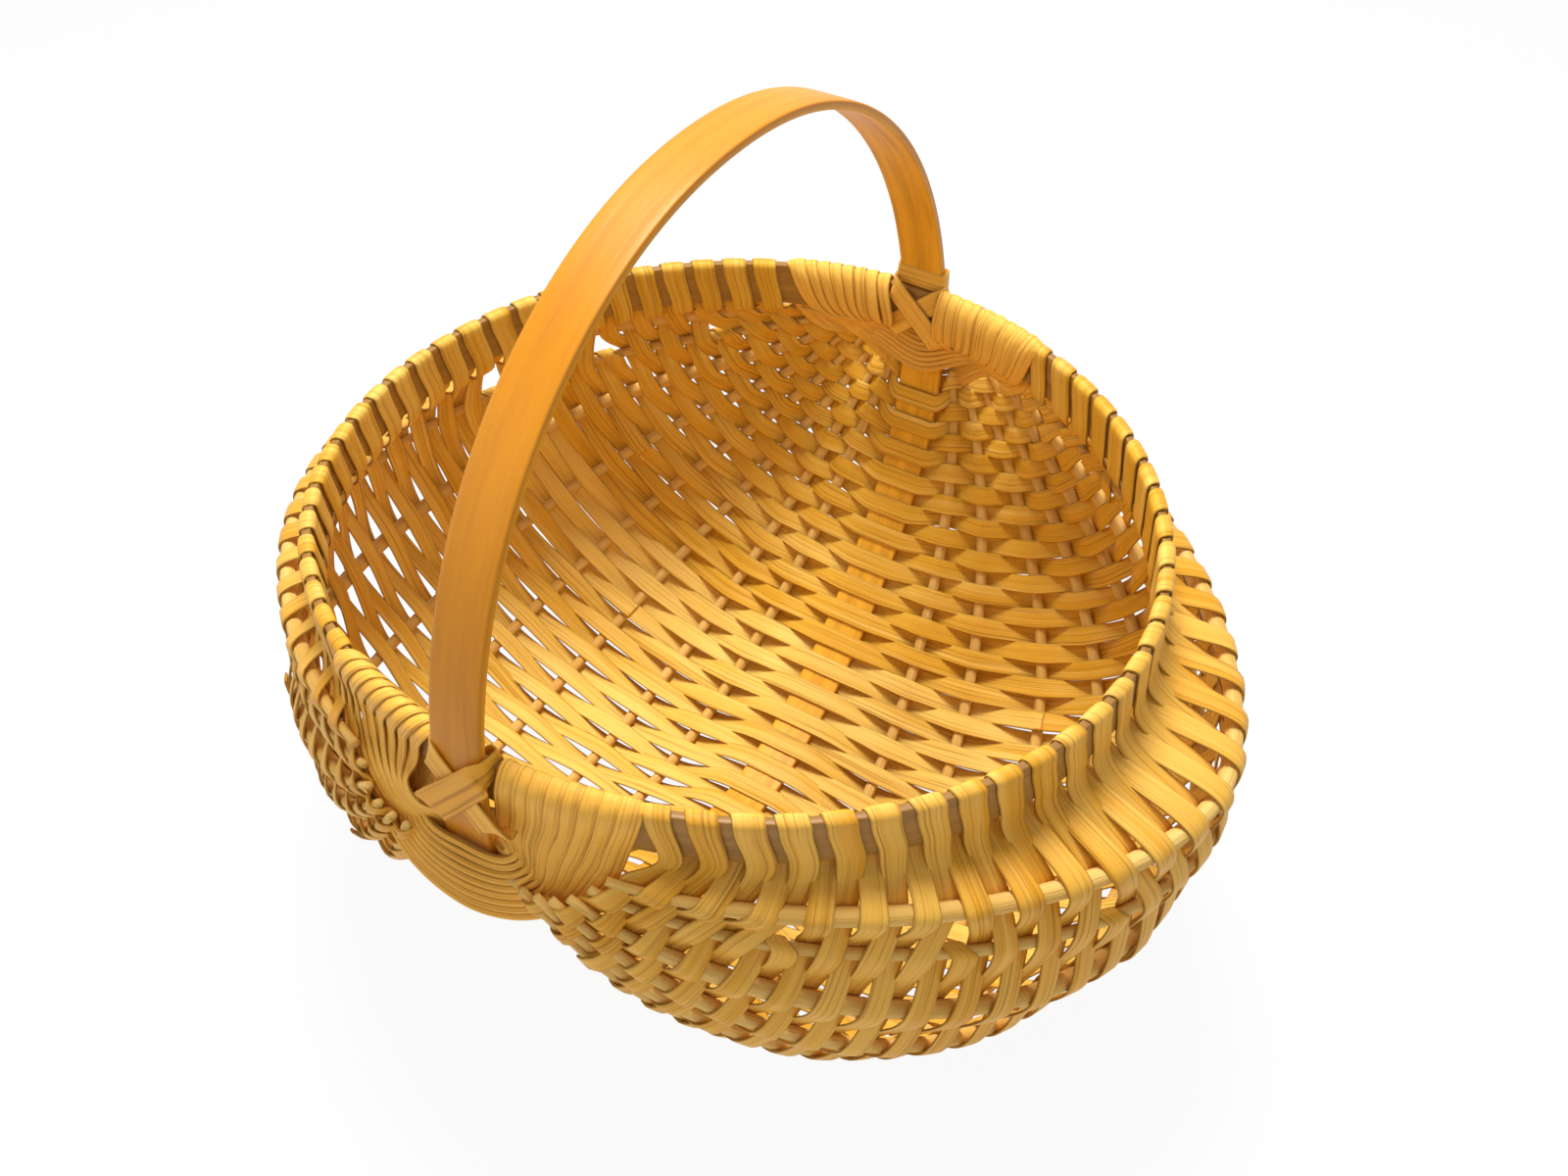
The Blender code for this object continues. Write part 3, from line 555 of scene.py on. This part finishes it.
class Value:
    """A socket of a material, on which maths is written as it is on numbers."""

    def __init__(self, graph, socket):
        self.graph, self.socket = graph, socket

    def maths(self, operation, *others):
        return self.graph.add("ShaderNodeMath", dict(enumerate((self, *others))), operation=operation)

    def __add__(self, other):
        return self.maths("ADD", other)

    __radd__ = __add__

    def __mul__(self, other):
        return self.maths("MULTIPLY", other)

    __rmul__ = __mul__

    def __sub__(self, other):
        return self.maths("SUBTRACT", other)

    def __rsub__(self, other):
        return (self * -1.0) + other

    def __abs__(self):
        return self.maths("ABSOLUTE")

    def between(self, low, high):
        """Nothing below low and one above high, with an easy rise from one to the other."""
        return self.graph.add("ShaderNodeMapRange", {0: self, 1: low, 2: high}, interpolation_type="SMOOTHSTEP")


class Finish:
    """A material whose nodes are added one by one."""

    def __init__(self, name):
        self.material = bpy.data.materials.new(name)
        self.material.use_nodes = True
        self.tree = self.material.node_tree
        self.shader = self.tree.nodes["Principled BSDF"]

    def add(self, kind, values=(), out=0, **settings):
        sockets = {key: getattr(value, "socket", value) for key, value in dict(values).items()}
        return Value(self, node(self.tree, kind, sockets, **settings).outputs[out])

    def held(self, name):
        """What the piece's own attribute of this name says."""
        return self.add("ShaderNodeAttribute", out="Fac", attribute_name=name)

    def noise(self, x, y, z, detail=3.0, rough=0.55):
        spot = self.add("ShaderNodeCombineXYZ", {0: x, 1: y, 2: z})
        values = {"Vector": spot, "Scale": 1.0, "Detail": detail, "Roughness": rough}
        return self.add("ShaderNodeTexNoise", values, out="Fac")

    def mix(self, share, a, b):
        """From colour a to colour b."""
        a, b = ((*colour, 1.0) if isinstance(colour, tuple) else colour for colour in (a, b))
        return self.add("ShaderNodeMix", {0: share, 6: a, 7: b}, out=2, data_type="RGBA")

    def times(self, colour, other):
        return self.add("ShaderNodeVectorMath", {0: colour, 1: other}, operation="MULTIPLY")

    def shaded(self, colour, share):
        """The colour times a number."""
        return self.times(colour, self.add("ShaderNodeCombineXYZ", {0: share, 1: share, 2: share}))

    def finish(self, colour, roughness, height, bump):
        for name, value in (("Base Color", colour), ("Roughness", roughness)):
            self.tree.links.new(value.socket, self.shader.inputs[name])
        normal = self.add("ShaderNodeBump", {"Strength": 1.0, "Distance": bump, "Height": height}, out="Normal")
        self.tree.links.new(normal.socket, self.shader.inputs["Normal"])
        return self.material


def reed_finish(name, pale, honey, brown, painted_outer_shade, width):
    """Flat reed: fine fibres and dark pores, a slow change of colour along each strip, and painted shade that
    darkens and browns its outward face.
    """
    f = Finish(name)
    along, across, tone, above = f.held("along"), f.held("across"), f.held("tone"), f.held("above")
    face = above.between(-0.3, 0.3)
    seat = tone * 61.0 + face * 9.0
    fibres = f.noise(along * 11.0, across * (width * 620.0), seat, 4.0, 0.62)
    bands = f.noise(along * 7.0, across * (width * 190.0), seat + 3.0, 2.0, 0.5)
    slow = f.noise(along * 5.0, across * 0.6, seat + 7.0, 2.0)
    pores = f.noise(along * 60.0, across * (width * 1500.0), seat + 11.0, 1.0)
    patches = f.noise(along * 38.0, across * 1.6, seat + 17.0, 3.0)
    shift = (slow - 0.5) * 1.8 + (tone - 0.5) * 1.1 + (bands - 0.5) * 1.5 + 0.42
    colour = f.mix(shift.between(0.0, 1.0), pale, honey)
    lines = fibres.between(0.50, 0.68) * 0.58
    colour = f.mix(lines, colour, brown)
    dots = pores.between(0.68, 0.78) * patches.between(0.5, 0.7) * 0.5
    colour = f.mix(dots, colour, brown)
    # Darker towards the strip's edges.
    edge_darkening = 1.0 - abs(across).between(0.82, 1.0) * 0.3
    colour = f.shaded(colour, edge_darkening)
    # Painted shade: faces that look out of the basket are multiplied by a darker, browner colour, standing in
    # for the dimmer light outside the wall.
    colour = f.mix(f.held("outward").between(0.0, 0.06), colour, f.times(colour, painted_outer_shade))
    height = fibres * 0.5 + bands * 0.8
    f.shader.inputs["Specular IOR Level"].default_value = 0.22
    return f.finish(colour, 0.5 + (fibres - 0.5) * 0.3, height, 0.0007)


def rib_finish(name):
    """Round reed: pale, with straight lines of fibre all round it."""
    f = Finish(name)
    along, across, above, tone = f.held("along"), f.held("across"), f.held("above"), f.held("tone")
    fibres = f.noise(along * 10.0, across * 7.0, above * 7.0 + tone * 31.0, 3.0, 0.6)
    slow = f.noise(along * 12.0, across * 0.8, above * 0.8 + tone * 17.0, 2.0)
    colour = f.mix(slow.between(0.3, 0.7), (0.88, 0.57, 0.17), (0.76, 0.43, 0.09))
    colour = f.mix(fibres.between(0.5, 0.75) * 0.5, colour, (0.42, 0.22, 0.06))
    f.shader.inputs["Specular IOR Level"].default_value = 0.2
    return f.finish(colour, 0.6 + (fibres - 0.5) * 0.2, fibres, 0.0004)


def hoop_finish(name, outer, inner, dark):
    """Bent wood: long grain, a deeper colour on its inner face and a soft sheen."""
    f = Finish(name)
    along, across, above, tone = f.held("along"), f.held("across"), f.held("above"), f.held("tone")
    drift = f.noise(along * 12.0, across * 0.7, tone * 3.0, 2.0)
    grain = f.noise(along * 9.0, across * 4.0 + drift * 3.0, tone * 31.0 + above * 0.6, 4.0, 0.62)
    fine = f.noise(along * 60.0, across * 22.0 + drift * 9.0, tone * 17.0 + above * 0.6, 3.0, 0.6)
    slow = f.noise(along * 26.0, across * 1.6, tone * 7.0 + above * 0.6, 3.0)
    colour = f.mix(above.between(-0.6, 0.6), inner, outer)
    colour = f.mix(grain.between(0.4, 0.75) * 0.3 + slow.between(0.35, 0.7) * 0.35, colour, dark)
    colour = f.mix(fine.between(0.55, 0.8) * 0.18, colour, dark)
    colour = f.mix(abs(across).between(0.9, 1.0) * 0.35, colour, dark)
    f.shader.inputs["Specular IOR Level"].default_value = 0.3
    return f.finish(colour, 0.42 + (grain - 0.5) * 0.25, grain * 0.4 + fine * 0.5, 0.0002)


WALL_REED = reed_finish(
    "wall_reed",
    pale=(0.93, 0.60, 0.125),
    honey=(0.80, 0.43, 0.034),
    brown=(0.33, 0.13, 0.010),
    # The painted shade that darkens and browns the wall's outward faces.
    painted_outer_shade=(0.93, 0.80, 0.62),
    width=STRIP_WIDTH,
)
EAR_REED = reed_finish(
    "ear_reed",
    pale=(0.97, 0.55, 0.090),
    honey=(0.84, 0.40, 0.032),
    brown=(0.33, 0.13, 0.010),
    # The painted shade that darkens and browns the ears' outward faces.
    painted_outer_shade=(0.98, 0.90, 0.78),
    width=SEEN_LEAF[0],
)
ROUND_REED = rib_finish("round_reed")
HANDLE_WOOD = hoop_finish("handle_wood", (0.98, 0.50, 0.030), (0.70, 0.26, 0.006), (0.50, 0.18, 0.008))
# Painted shade: the rim is the same pale wood as the handle, given a far darker colour that stands in for the
# shade on its outer face and between the wraps.
RIM_WOOD_IN_PAINTED_SHADE = hoop_finish("rim_wood_painted_shade", (0.46, 0.24, 0.05), (0.42, 0.20, 0.035), (0.20, 0.08, 0.01))


# The basket

def dressed(piece, slot, *nodes):
    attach(piece, "root")
    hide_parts(*nodes)


def hoop_rings(point, half_width, half_thickness, flat):
    """Rings of a closed hoop, with its width along the flat direction."""
    rings, travelled = [], 0.0
    places = [point(k / HOOP_STEPS) for k in range(HOOP_STEPS)]
    for k, place in enumerate(places):
        after = places[(k + 1) % HOOP_STEPS]
        ahead = (after - places[k - 1]).normalized()
        face = flat.cross(ahead).normalized()
        rings.append((place, ahead.cross(face) * half_width, face * half_thickness, travelled, Vector()))
        travelled += (after - place).length
    return rings


def make_hoops():
    shape = {"sides": 24, "squareness": 0.24, "closed": True, "wander": 0.02, "pace": 20.0}
    rings = hoop_rings(hoop_point, HOOP_WIDTH / 2, HOOP_THICKNESS / 2, ACROSS)
    dressed(swept("handle_and_keel", rings, HANDLE_WOOD, 0.3, **shape), "hoop_wood", "handle_hoop")
    rings = hoop_rings(rim_point, RIM_HEIGHT / 2, RIM_THICKNESS / 2, UP)
    # The rim's finish is painted shade, darker than the handle's same wood.
    dressed(swept("rim", rings, RIM_WOOD_IN_PAINTED_SHADE, 0.7, **shape), "hoop_wood", "rim_hoop")


def make_ribs(warps, rng):
    for i, warp in enumerate(warps):
        if warp.kind != "rib":
            continue
        side = "right" if warp.points[1].x > 0 else "left"
        number = i if side == "right" else len(warps) - 1 - i
        rings = []
        for place, ahead, mark in zip(warp.points, warp.tangents, warp.marks):
            away = Vector((place.x, 0, place.z - LOBE_AXIS_LEVEL))
            face = (away - ahead * away.dot(ahead)).normalized()
            radius = warp.radius(mark)
            rings.append((place, ahead.cross(face) * radius, face * radius, mark, Vector()))
        name = f"{side}_rib_{number}"
        piece = swept("round_" + name, rings, ROUND_REED, rng.random(), squareness=1.0, wander=0.08, pace=40.0)
        dressed(piece, "rib_reed", name)


def wall_turns(last):
    """The warps at which the wall's reed turns back: the two rims, and for short rows a rib below each."""
    turns = [0]
    for pair in range(RIM_TURNS):
        turns.append(last)
        if pair in SHORT_PAIRS:
            turns += [SHORT_RIB, last - SHORT_RIB]
        turns.append(0)
    return turns


def splice_places(path):
    """The passes at which one weaver ends over the start of the next."""
    rows = path[-1].row + 1
    places = []
    for n, row in enumerate(range(ROWS_PER_WEAVER - 1, rows - 2, ROWS_PER_WEAVER)):
        pair = SPLICE_RIBS[n % len(SPLICE_RIBS)]
        places.append(min(i for i, c in enumerate(path) if c.row == row and c.index in pair))
    return places


def make_wall(warps, rng):
    """The wall's one long path of reed, cut into weavers whose ends lie over each other."""
    path = weave_path(warps, wall_turns(len(warps) - 1), rng)
    set_outward(path)
    knots, ranges = wall_knots(path, rng)
    cuts = splice_places(path)
    starts, ends = [0] + cuts, [cut + 1 for cut in cuts] + [len(path) - 1]
    for n, (start, end) in enumerate(zip(starts, ends)):
        first, last = n == 0, n == len(starts) - 1
        base = ranges[start][0]
        own = knots[base : ranges[end][1]]
        overlaps = [] if first else [(start, 1), (start + 1, 1)]
        overlaps += [] if last else [(end - 1, -1), (end, -1)]
        for i, layer in overlaps:
            c = path[i]
            for k in range(*ranges[i]):
                if c.sign == layer:
                    own[k - base] = own[k - base].moved(c.out * (layer * (REED + LAYER_PLAY)))
        if not first:
            own.insert(0, own[0].moved(own[0].heading * -rng.uniform(*SPLICE_TAIL)))
        if not last:
            own.append(own[-1].moved(own[-1].heading * rng.uniform(*SPLICE_TAIL)))
        rings = drawn(own, WALL_FINENESS, rng)
        name = f"weaver_{n + 1:02d}"
        piece = swept("reed_" + name, rings, WALL_REED, rng.random(), wander=0.09, pace=55.0)
        dressed(piece, "weaver_reed", name)


# Where each ear's rows cross the keel, outside it or inside it, for the first and the last row: the level
# and how far the reed stands off, in millimetres. The front ear is known from outside and the back ear
# from inside, and they differ as hand work does.
EAR_KEEL = {
    ("front", True): ((10.0, -3.2), (-15.0, -3.6)),
    ("front", False): ((6.4, 3.5), (-20.4, 12.0)),
    ("back", True): ((17.4, -3.0), (-5.6, -5.2)),
    ("back", False): ((6.0, 3.4), (-20.0, 9.0)),
}

# How each ear's rows run from the rim to the keel, by face and side, for the first and the last row, in
# millimetres: the slant of the foot along the rim, then a far and a near spot as across, out and level.
EAR_WRAPS = {
    ("front", True, 1): (
        (4.5, 11.6, 146.6, 13.5, 15.0, 148.6, 6.6),
        (7.5, 51.2, 139.6, 7.0, 33.0, 148.2, -14.5),
    ),
    ("front", True, -1): (
        (-13.5, 25.5, 147.6, 13.0, 17.5, 149.8, 9.4),
        (-11.5, 60.0, 142.0, 0.0, 39.0, 149.0, -10.0),
    ),
    ("front", False, 1): (
        (0.5, 15.0, 142.5, 15.5, 17.0, 148.6, 8.0),
        (4.0, 36.0, 140.5, 4.0, 32.0, 148.8, -12.0),
    ),
    ("front", False, -1): (
        (0.5, 15.0, 142.5, 15.5, 16.5, 149.0, 6.2),
        (4.0, 38.0, 140.5, 4.0, 39.0, 148.8, -12.0),
    ),
    ("back", True, 1): (
        (0.5, 14.0, 147.0, 12.0, 14.8, 143.4, 19.0),
        (4.0, 48.0, 140.0, 3.0, 28.0, 142.0, 5.0),
    ),
    ("back", True, -1): (
        (0.5, 13.0, 147.0, 12.0, 11.8, 143.4, 18.6),
        (4.0, 48.0, 140.0, 3.0, 34.0, 141.6, 10.5),
    ),
    ("back", False, 1): (
        (1.0, 16.4, 140.4, 18.6, 15.6, 142.6, 17.6),
        (11.0, 33.0, 136.0, 12.5, 27.0, 140.0, 6.0),
    ),
    ("back", False, -1): (
        (0.6, 13.2, 140.2, 18.0, 12.4, 142.6, 17.4),
        (8.5, 46.5, 134.4, 12.5, 37.0, 139.4, 9.6),
    ),
}


def between_rows(first, last, share):
    return [a + (b - a) * share for a, b in zip(first, last)]


def ear_slant(ear, outside, side, q):
    """How far a row's foot slants along the rim, in millimetres."""
    return between_rows(*EAR_WRAPS[ear, outside, side], q)[0]


def ear_spots(ear, side, q, outside, on_rim, rims):
    """Where a row of an ear runs between the rim and the keel on one side, with its face's direction there."""
    sign = 1 if outside else -1
    rows = EAR_WRAPS[ear, outside, side]
    foot, out, along = rim_face(rims[side], on_rim - ear_slant(ear, outside, side, q) * MILLIMETRE, sign)
    foot = foot - UP * (RIM_HEIGHT / 2 + RIM_EDGE_OVERLAP)
    spots = between_rows(*rows, q**FAR_SPREAD)[1:4], between_rows(*rows, q)[4:]
    far, near = (Vector((side * across, -depth, level)) * MILLIMETRE for across, depth, level in spots)
    normal = Vector((0.3 * side * q, -1, -0.25 - 0.25 * q)).normalized()
    return (foot, out * sign), (far, normal * sign), (near, -normal * sign), along


def keel_spot(ear, q, outside):
    """Where a row of an ear crosses the keel, and the way that its face looks there."""
    level, stand = between_rows(*EAR_KEEL[ear, outside], q)
    middle, normal = keel_place(level * MILLIMETRE)
    return middle + normal * (stand * MILLIMETRE), normal * (-1 if outside else 1)


def rim_face(warp, distance, sign):
    """A spot on the rim's outer or inner face, with the way out and the way along the rim from the ear."""
    point, along = warp.at(distance)
    out = along.cross(UP)
    out = out if out.dot(Vector((point.x, point.y, 0))) > 0 else -out
    return point + out * (sign * (RIM_THICKNESS / 2 + REED + RIM_PLAY)), out, along


def ear_knots(ear, rims, rng):
    """The reed of an ear at the front: broad on the rim, and folded narrow where it crosses the keel."""
    rows = 2 * EAR_TURNS
    pitch = (EAR_ON_RIM - EAR_WRAP_END - EAR_WRAP_START) / rows
    top = UP * (RIM_HEIGHT / 2 - RIM_EDGE_BEND)
    spots = []
    for row in range(rows):
        share = (row + 0.5) / rows
        outside = row % 2 == 0
        sign = 1 if outside else -1
        far_width, near_width = SEEN_LEAF if outside == (ear == "front") else HIDDEN_LEAF
        on_rim = EAR_WRAP_START + pitch * (row + 0.5) + rng.uniform(-EAR_WOBBLE, EAR_WOBBLE)
        wide = EAR_WIDTH * rng.uniform(0.94, 1.04)
        # An outside row starts on the right and an inside row on the left.
        for side in (sign, -sign):
            (foot, foot_away), (far, far_away), (near, near_away), along = ear_spots(
                ear, side, share, outside, on_rim, rims
            )
            far_side = Vector((side * 0.80, 0, -0.60)) - far_away * 0.25
            near_side = Vector((side * 0.35, 0, -0.94)) - near_away * 0.15
            leaf = [
                (foot, along - foot_away * 0.28, wide * 0.97, REED, foot_away * EAR_CROWN),
                (far, far_side, far_width, REED * 1.1, far_away * EAR_CROWN),
                (near, near_side, near_width, TUCK_THICKNESS, near_away * FOLD_CROWN),
            ]
            if side == sign:
                middle, away = keel_spot(ear, share, outside)
                fold_side = Vector((0, 0.1, -1)) - away * 0.1
                spots += leaf
                spots.append((middle, fold_side, KEEL_FOLD_WIDTH, KEEL_FOLD_THICKNESS, away * FOLD_CROWN))
            else:
                spots += leaf[::-1]
        if row < rows - 1:
            side = -sign
            slants = [ear_slant(ear, facing, side, share) for facing in (outside, not outside)]
            slants = [slant * (CREST_LEAN_BACK if slant < 0 else CREST_LEAN) for slant in slants]
            up_spot, out, along = rim_face(rims[side], on_rim + pitch * 0.35 - slants[0], sign)
            down_spot = rim_face(rims[side], on_rim + pitch * 0.65 - slants[1], -sign)[0]
            crest = rims[side].at(on_rim + pitch * 0.5)[0] + UP * (RIM_HEIGHT / 2 + REED * 1.5)
            for place, away in ((up_spot + top, out * sign), (crest, UP), (down_spot + top, out * -sign)):
                spots.append((place, along - away * 0.28, wide, REED, away * CREST_CROWN))
    knots = []
    for i, (place, side, width, thick, crown) in enumerate(spots):
        before, after = spots[max(i - 1, 0)][0], spots[min(i + 1, len(spots) - 1)][0]
        near_before, near_after = max((place - before).length, 0.0001), max((after - place).length, 0.0001)
        heading = (place - before) / near_before + (after - place) / near_after
        if i == 0 or i == len(spots) - 1:
            heading = after - before
        shape = {"side": side.normalized(), "thick": thick, "crown": crown, "slack": EAR_SLACK}
        knots.append(Knot(place, None, heading, width, **shape))
    return knots


def keel_place(level):
    """The keel's middle at the front ear, with its outward direction."""
    rise, round_ = (HANDLE_RISE, HANDLE_ROUNDNESS) if level > 0 else (KEEL_DROP, KEEL_ROUNDNESS)

    def at(z):
        return -HOOP_HALF_LENGTH * (1 - (abs(z) / rise) ** round_) ** (1 / round_)

    here = Vector((0, at(level), level))
    step = 0.0004 if level > 0 else -0.0004
    along = Vector((0, at(level + step) - at(level), step))
    normal = ACROSS.cross(along).normalized()
    return here, (normal if normal.y < 0 else -normal)


def turned_round(rings):
    """The rings of a piece at the front, turned round to the back."""
    def turned(v):
        return Vector((-v.x, -v.y, v.z))

    return [(turned(p), turned(s), turned(f), a, turned(c)) for p, s, f, a, c in rings]


def corner_rings(corners, widths, curl):
    """Rings of a closed turn of reed whose corners are rounded."""
    knots = []
    for k, ((place, face_out), width) in enumerate(zip(corners, widths)):
        (before, face_in), (after, _) = corners[k - 1], corners[(k + 1) % len(corners)]
        come, go = (place - before).normalized(), (after - place).normalized()
        knots.append(Knot(place - come * curl, face_in, come, width))
        knots.append(Knot(place + go * curl, face_out, go, width))
    return drawn(knots + knots[:1], LASH_FINENESS)[:-1]


def lash_rings(lean, layer):
    """One diagonal turn of reed round the crossing of the hoops."""
    step = layer * (REED + REED_REST)
    gap = HOOP_GAP + step
    top, bottom = RIM_LEVEL + RIM_HEIGHT / 2 + 0.0006 + step, RIM_LEVEL - RIM_HEIGHT / 2 - 0.0030 - step
    outer_top, outer_bottom = (hoop_y(level) + HOOP_THICKNESS / 2 + gap for level in (top, bottom))
    inner = RIM_HALF_LENGTH - RIM_THICKNESS / 2 - gap
    # Each corner's place across, out and up, and the way the reed faces after it.
    spots = (
        (-0.0122, outer_bottom, bottom - 0.0015, Vector((0, -1, 0))),
        (0.0104, outer_top, top - 0.0018, Vector((lean, 0, 0))),
        (0.0104, inner, top - 0.0020, Vector((0, 1, 0))),
        (-0.0130, inner, bottom, -UP),
    )
    corners = [(Vector((across * lean, -out, level)), face) for across, out, level, face in spots]
    return corner_rings(corners, [LASH_WIDTHS[lean] * share for share in LASH_SHARES], 0.0022)


def band_rings():
    """A turn of reed round the handle, just above the rim."""
    level = RIM_LEVEL + RIM_HEIGHT / 2 + 0.0045
    x, deep = HOOP_WIDTH / 2 + REED * 0.75, HOOP_THICKNESS / 2 + REED * 0.75
    y = hoop_y(level)
    spots = (
        (-x, y + deep, (0, -1, 0)),
        (x, y + deep, (1, 0, 0)),
        (x, y - deep, (0, 1, 0)),
        (-x, y - deep, (-1, 0, 0)),
    )
    corners = [(Vector((a, -b, level)), Vector(face)) for a, b, face in spots]
    return corner_rings(corners, [BAND_WIDTH] * 4, 0.0011)


def make_ear_piece(end, name, rings, rng, *nodes, **shape):
    rings = turned_round(rings) if end == "back" else rings
    piece = swept(f"{end}_{name}", rings, EAR_REED, rng.random(), **shape)
    dressed(piece, "lash_reed", *(f"{end}_{node_name}" for node_name in nodes))


def make_ears(warps, rng):
    rims = {1: warps[0], -1: warps[-1]}
    for end in ("front", "back"):
        rings = drawn(ear_knots(end, rims, rng), EAR_FINENESS)
        make_ear_piece(end, "ear_reed", rings, rng, "ear_weaver", squareness=0.6)
        # At the front ear the outer lash is the only reed seen on the handle, so it stands for the band too.
        outer = ("cross_lash_outer", "handle_band") if end == "front" else ("cross_lash_outer",)
        make_ear_piece(end, "cross_reed_inner", lash_rings(-1, 0), rng, "cross_lash_inner", closed=True)
        make_ear_piece(end, "cross_reed_outer", lash_rings(1, 1), rng, *outer, closed=True)
        if end == "back":
            make_ear_piece(end, "handle_turn", band_rings(), rng, "handle_band", closed=True)


# Camera, light and floor

def make_camera():
    """The camera of the photograph, in units of the handle hoop's half length."""
    azimuth, elevation, roll = 0.5787, 0.7847, -0.0281
    focal_pixels, picture_pixels, sensor = 1498.0, 1600.0, 36.0
    level = math.cos(elevation)
    ahead = Vector((-math.sin(azimuth) * level, math.cos(azimuth) * level, -math.sin(elevation)))
    right = Vector((math.cos(azimuth), math.sin(azimuth), 0))
    up = right.cross(ahead)
    right, up = right * math.cos(roll) + up * math.sin(roll), up * math.cos(roll) - right * math.sin(roll)
    spot = Vector((1.5584, -2.1615, 2.5508)) * HOOP_HALF_LENGTH + UP * LIFT
    camera = bpy.data.objects.new("camera", bpy.data.cameras.new("camera"))
    bpy.context.scene.collection.objects.link(camera)
    matrix = camera.matrix_world.copy()
    for row in range(3):
        for column, way in enumerate((right, up, -ahead, spot)):
            matrix[row][column] = way[row]
    camera.matrix_world = matrix
    camera.data.sensor_width = sensor
    camera.data.lens = sensor * focal_pixels / picture_pixels
    camera.data.clip_start = 0.01
    bpy.context.scene.camera = camera


def make_lamp(name, spot, aim, size, power):
    lamp = bpy.data.objects.new(name, bpy.data.lights.new(name, "AREA"))
    lamp.data.shape = "DISK"
    lamp.data.size = size
    lamp.data.energy = power
    lamp.location = spot
    lamp.rotation_euler = (Vector(aim) - Vector(spot)).to_track_quat("-Z", "Y").to_euler()
    bpy.context.scene.collection.objects.link(lamp)


def pale_rays(tree):
    """One for rays that should meet a plain background: seen straight, off a gloss or through glass."""
    ray = node(tree, "ShaderNodeLightPath").outputs
    out = ray["Is Camera Ray"]
    for name in ("Is Glossy Ray", "Is Transmission Ray"):
        out = node(tree, "ShaderNodeMath", {0: out, 1: ray[name]}, operation="MAXIMUM").outputs[0]
    return out


def make_room():
    world = bpy.data.worlds.new("room")
    world.use_nodes = True
    bpy.context.scene.world = world
    tree = world.node_tree
    seen = node(tree, "ShaderNodeMapRange", {"Value": pale_rays(tree), "To Min": ROOM_LIGHT})
    tree.links.new(seen.outputs[0], tree.nodes["Background"].inputs["Strength"])
    tree.nodes["Background"].inputs["Color"].default_value = (1, 1, 1, 1)


def make_floor():
    corners = [(x * FLOOR_REACH, y * FLOOR_REACH, FLOOR_LEVEL) for x, y in ((-1, -1), (1, -1), (1, 1), (-1, 1))]
    mesh = bpy.data.meshes.new("floor")
    mesh.from_pydata(corners, [], [(0, 1, 2, 3)])
    floor = bpy.data.objects.new("floor", mesh)
    bpy.context.scene.collection.objects.link(floor)
    finish = bpy.data.materials.new("pale_floor")
    finish.use_nodes = True
    tree = finish.node_tree
    shader = tree.nodes["Principled BSDF"]
    shader.inputs["Base Color"].default_value = (0.8, 0.8, 0.8, 1)
    shader.inputs["Roughness"].default_value = 0.9
    share = node(tree, "ShaderNodeMath", {0: pale_rays(tree), 1: FLOOR_GLOW}, operation="MULTIPLY").outputs[0]
    glow = node(tree, "ShaderNodeEmission").outputs[0]
    mixed = node(tree, "ShaderNodeMixShader", {0: share, 1: shader.outputs[0], 2: glow}).outputs[0]
    tree.links.new(mixed, tree.nodes["Material Output"].inputs["Surface"])
    mesh.materials.append(finish)


def make_studio():
    bpy.context.scene.view_settings.view_transform = "Standard"
    make_lamp("overhead", (-0.2, 0.3, 1.5), (0, 0, 0.1), 0.6, 27.0)
    make_lamp("front", (0.9, -0.9, 1.0), (0, 0, 0.15), 1.0, 3.0)
    make_lamp("left", (-0.9, -0.8, 0.7), (0, 0, 0.12), 0.8, 2.2)
    make_room()
    make_floor()


make_camera()
make_studio()
dice = random.Random(7)
right_ribs, left_ribs = ([rib_warp(side, k) for k in range(len(RIB_RADII))] for side in (1, -1))
warps = [rim_warp(1), *right_ribs, keel_warp(), *reversed(left_ribs), rim_warp(-1)]
make_hoops()
make_ribs(warps, dice)
make_wall(warps, dice)
make_ears(warps, dice)
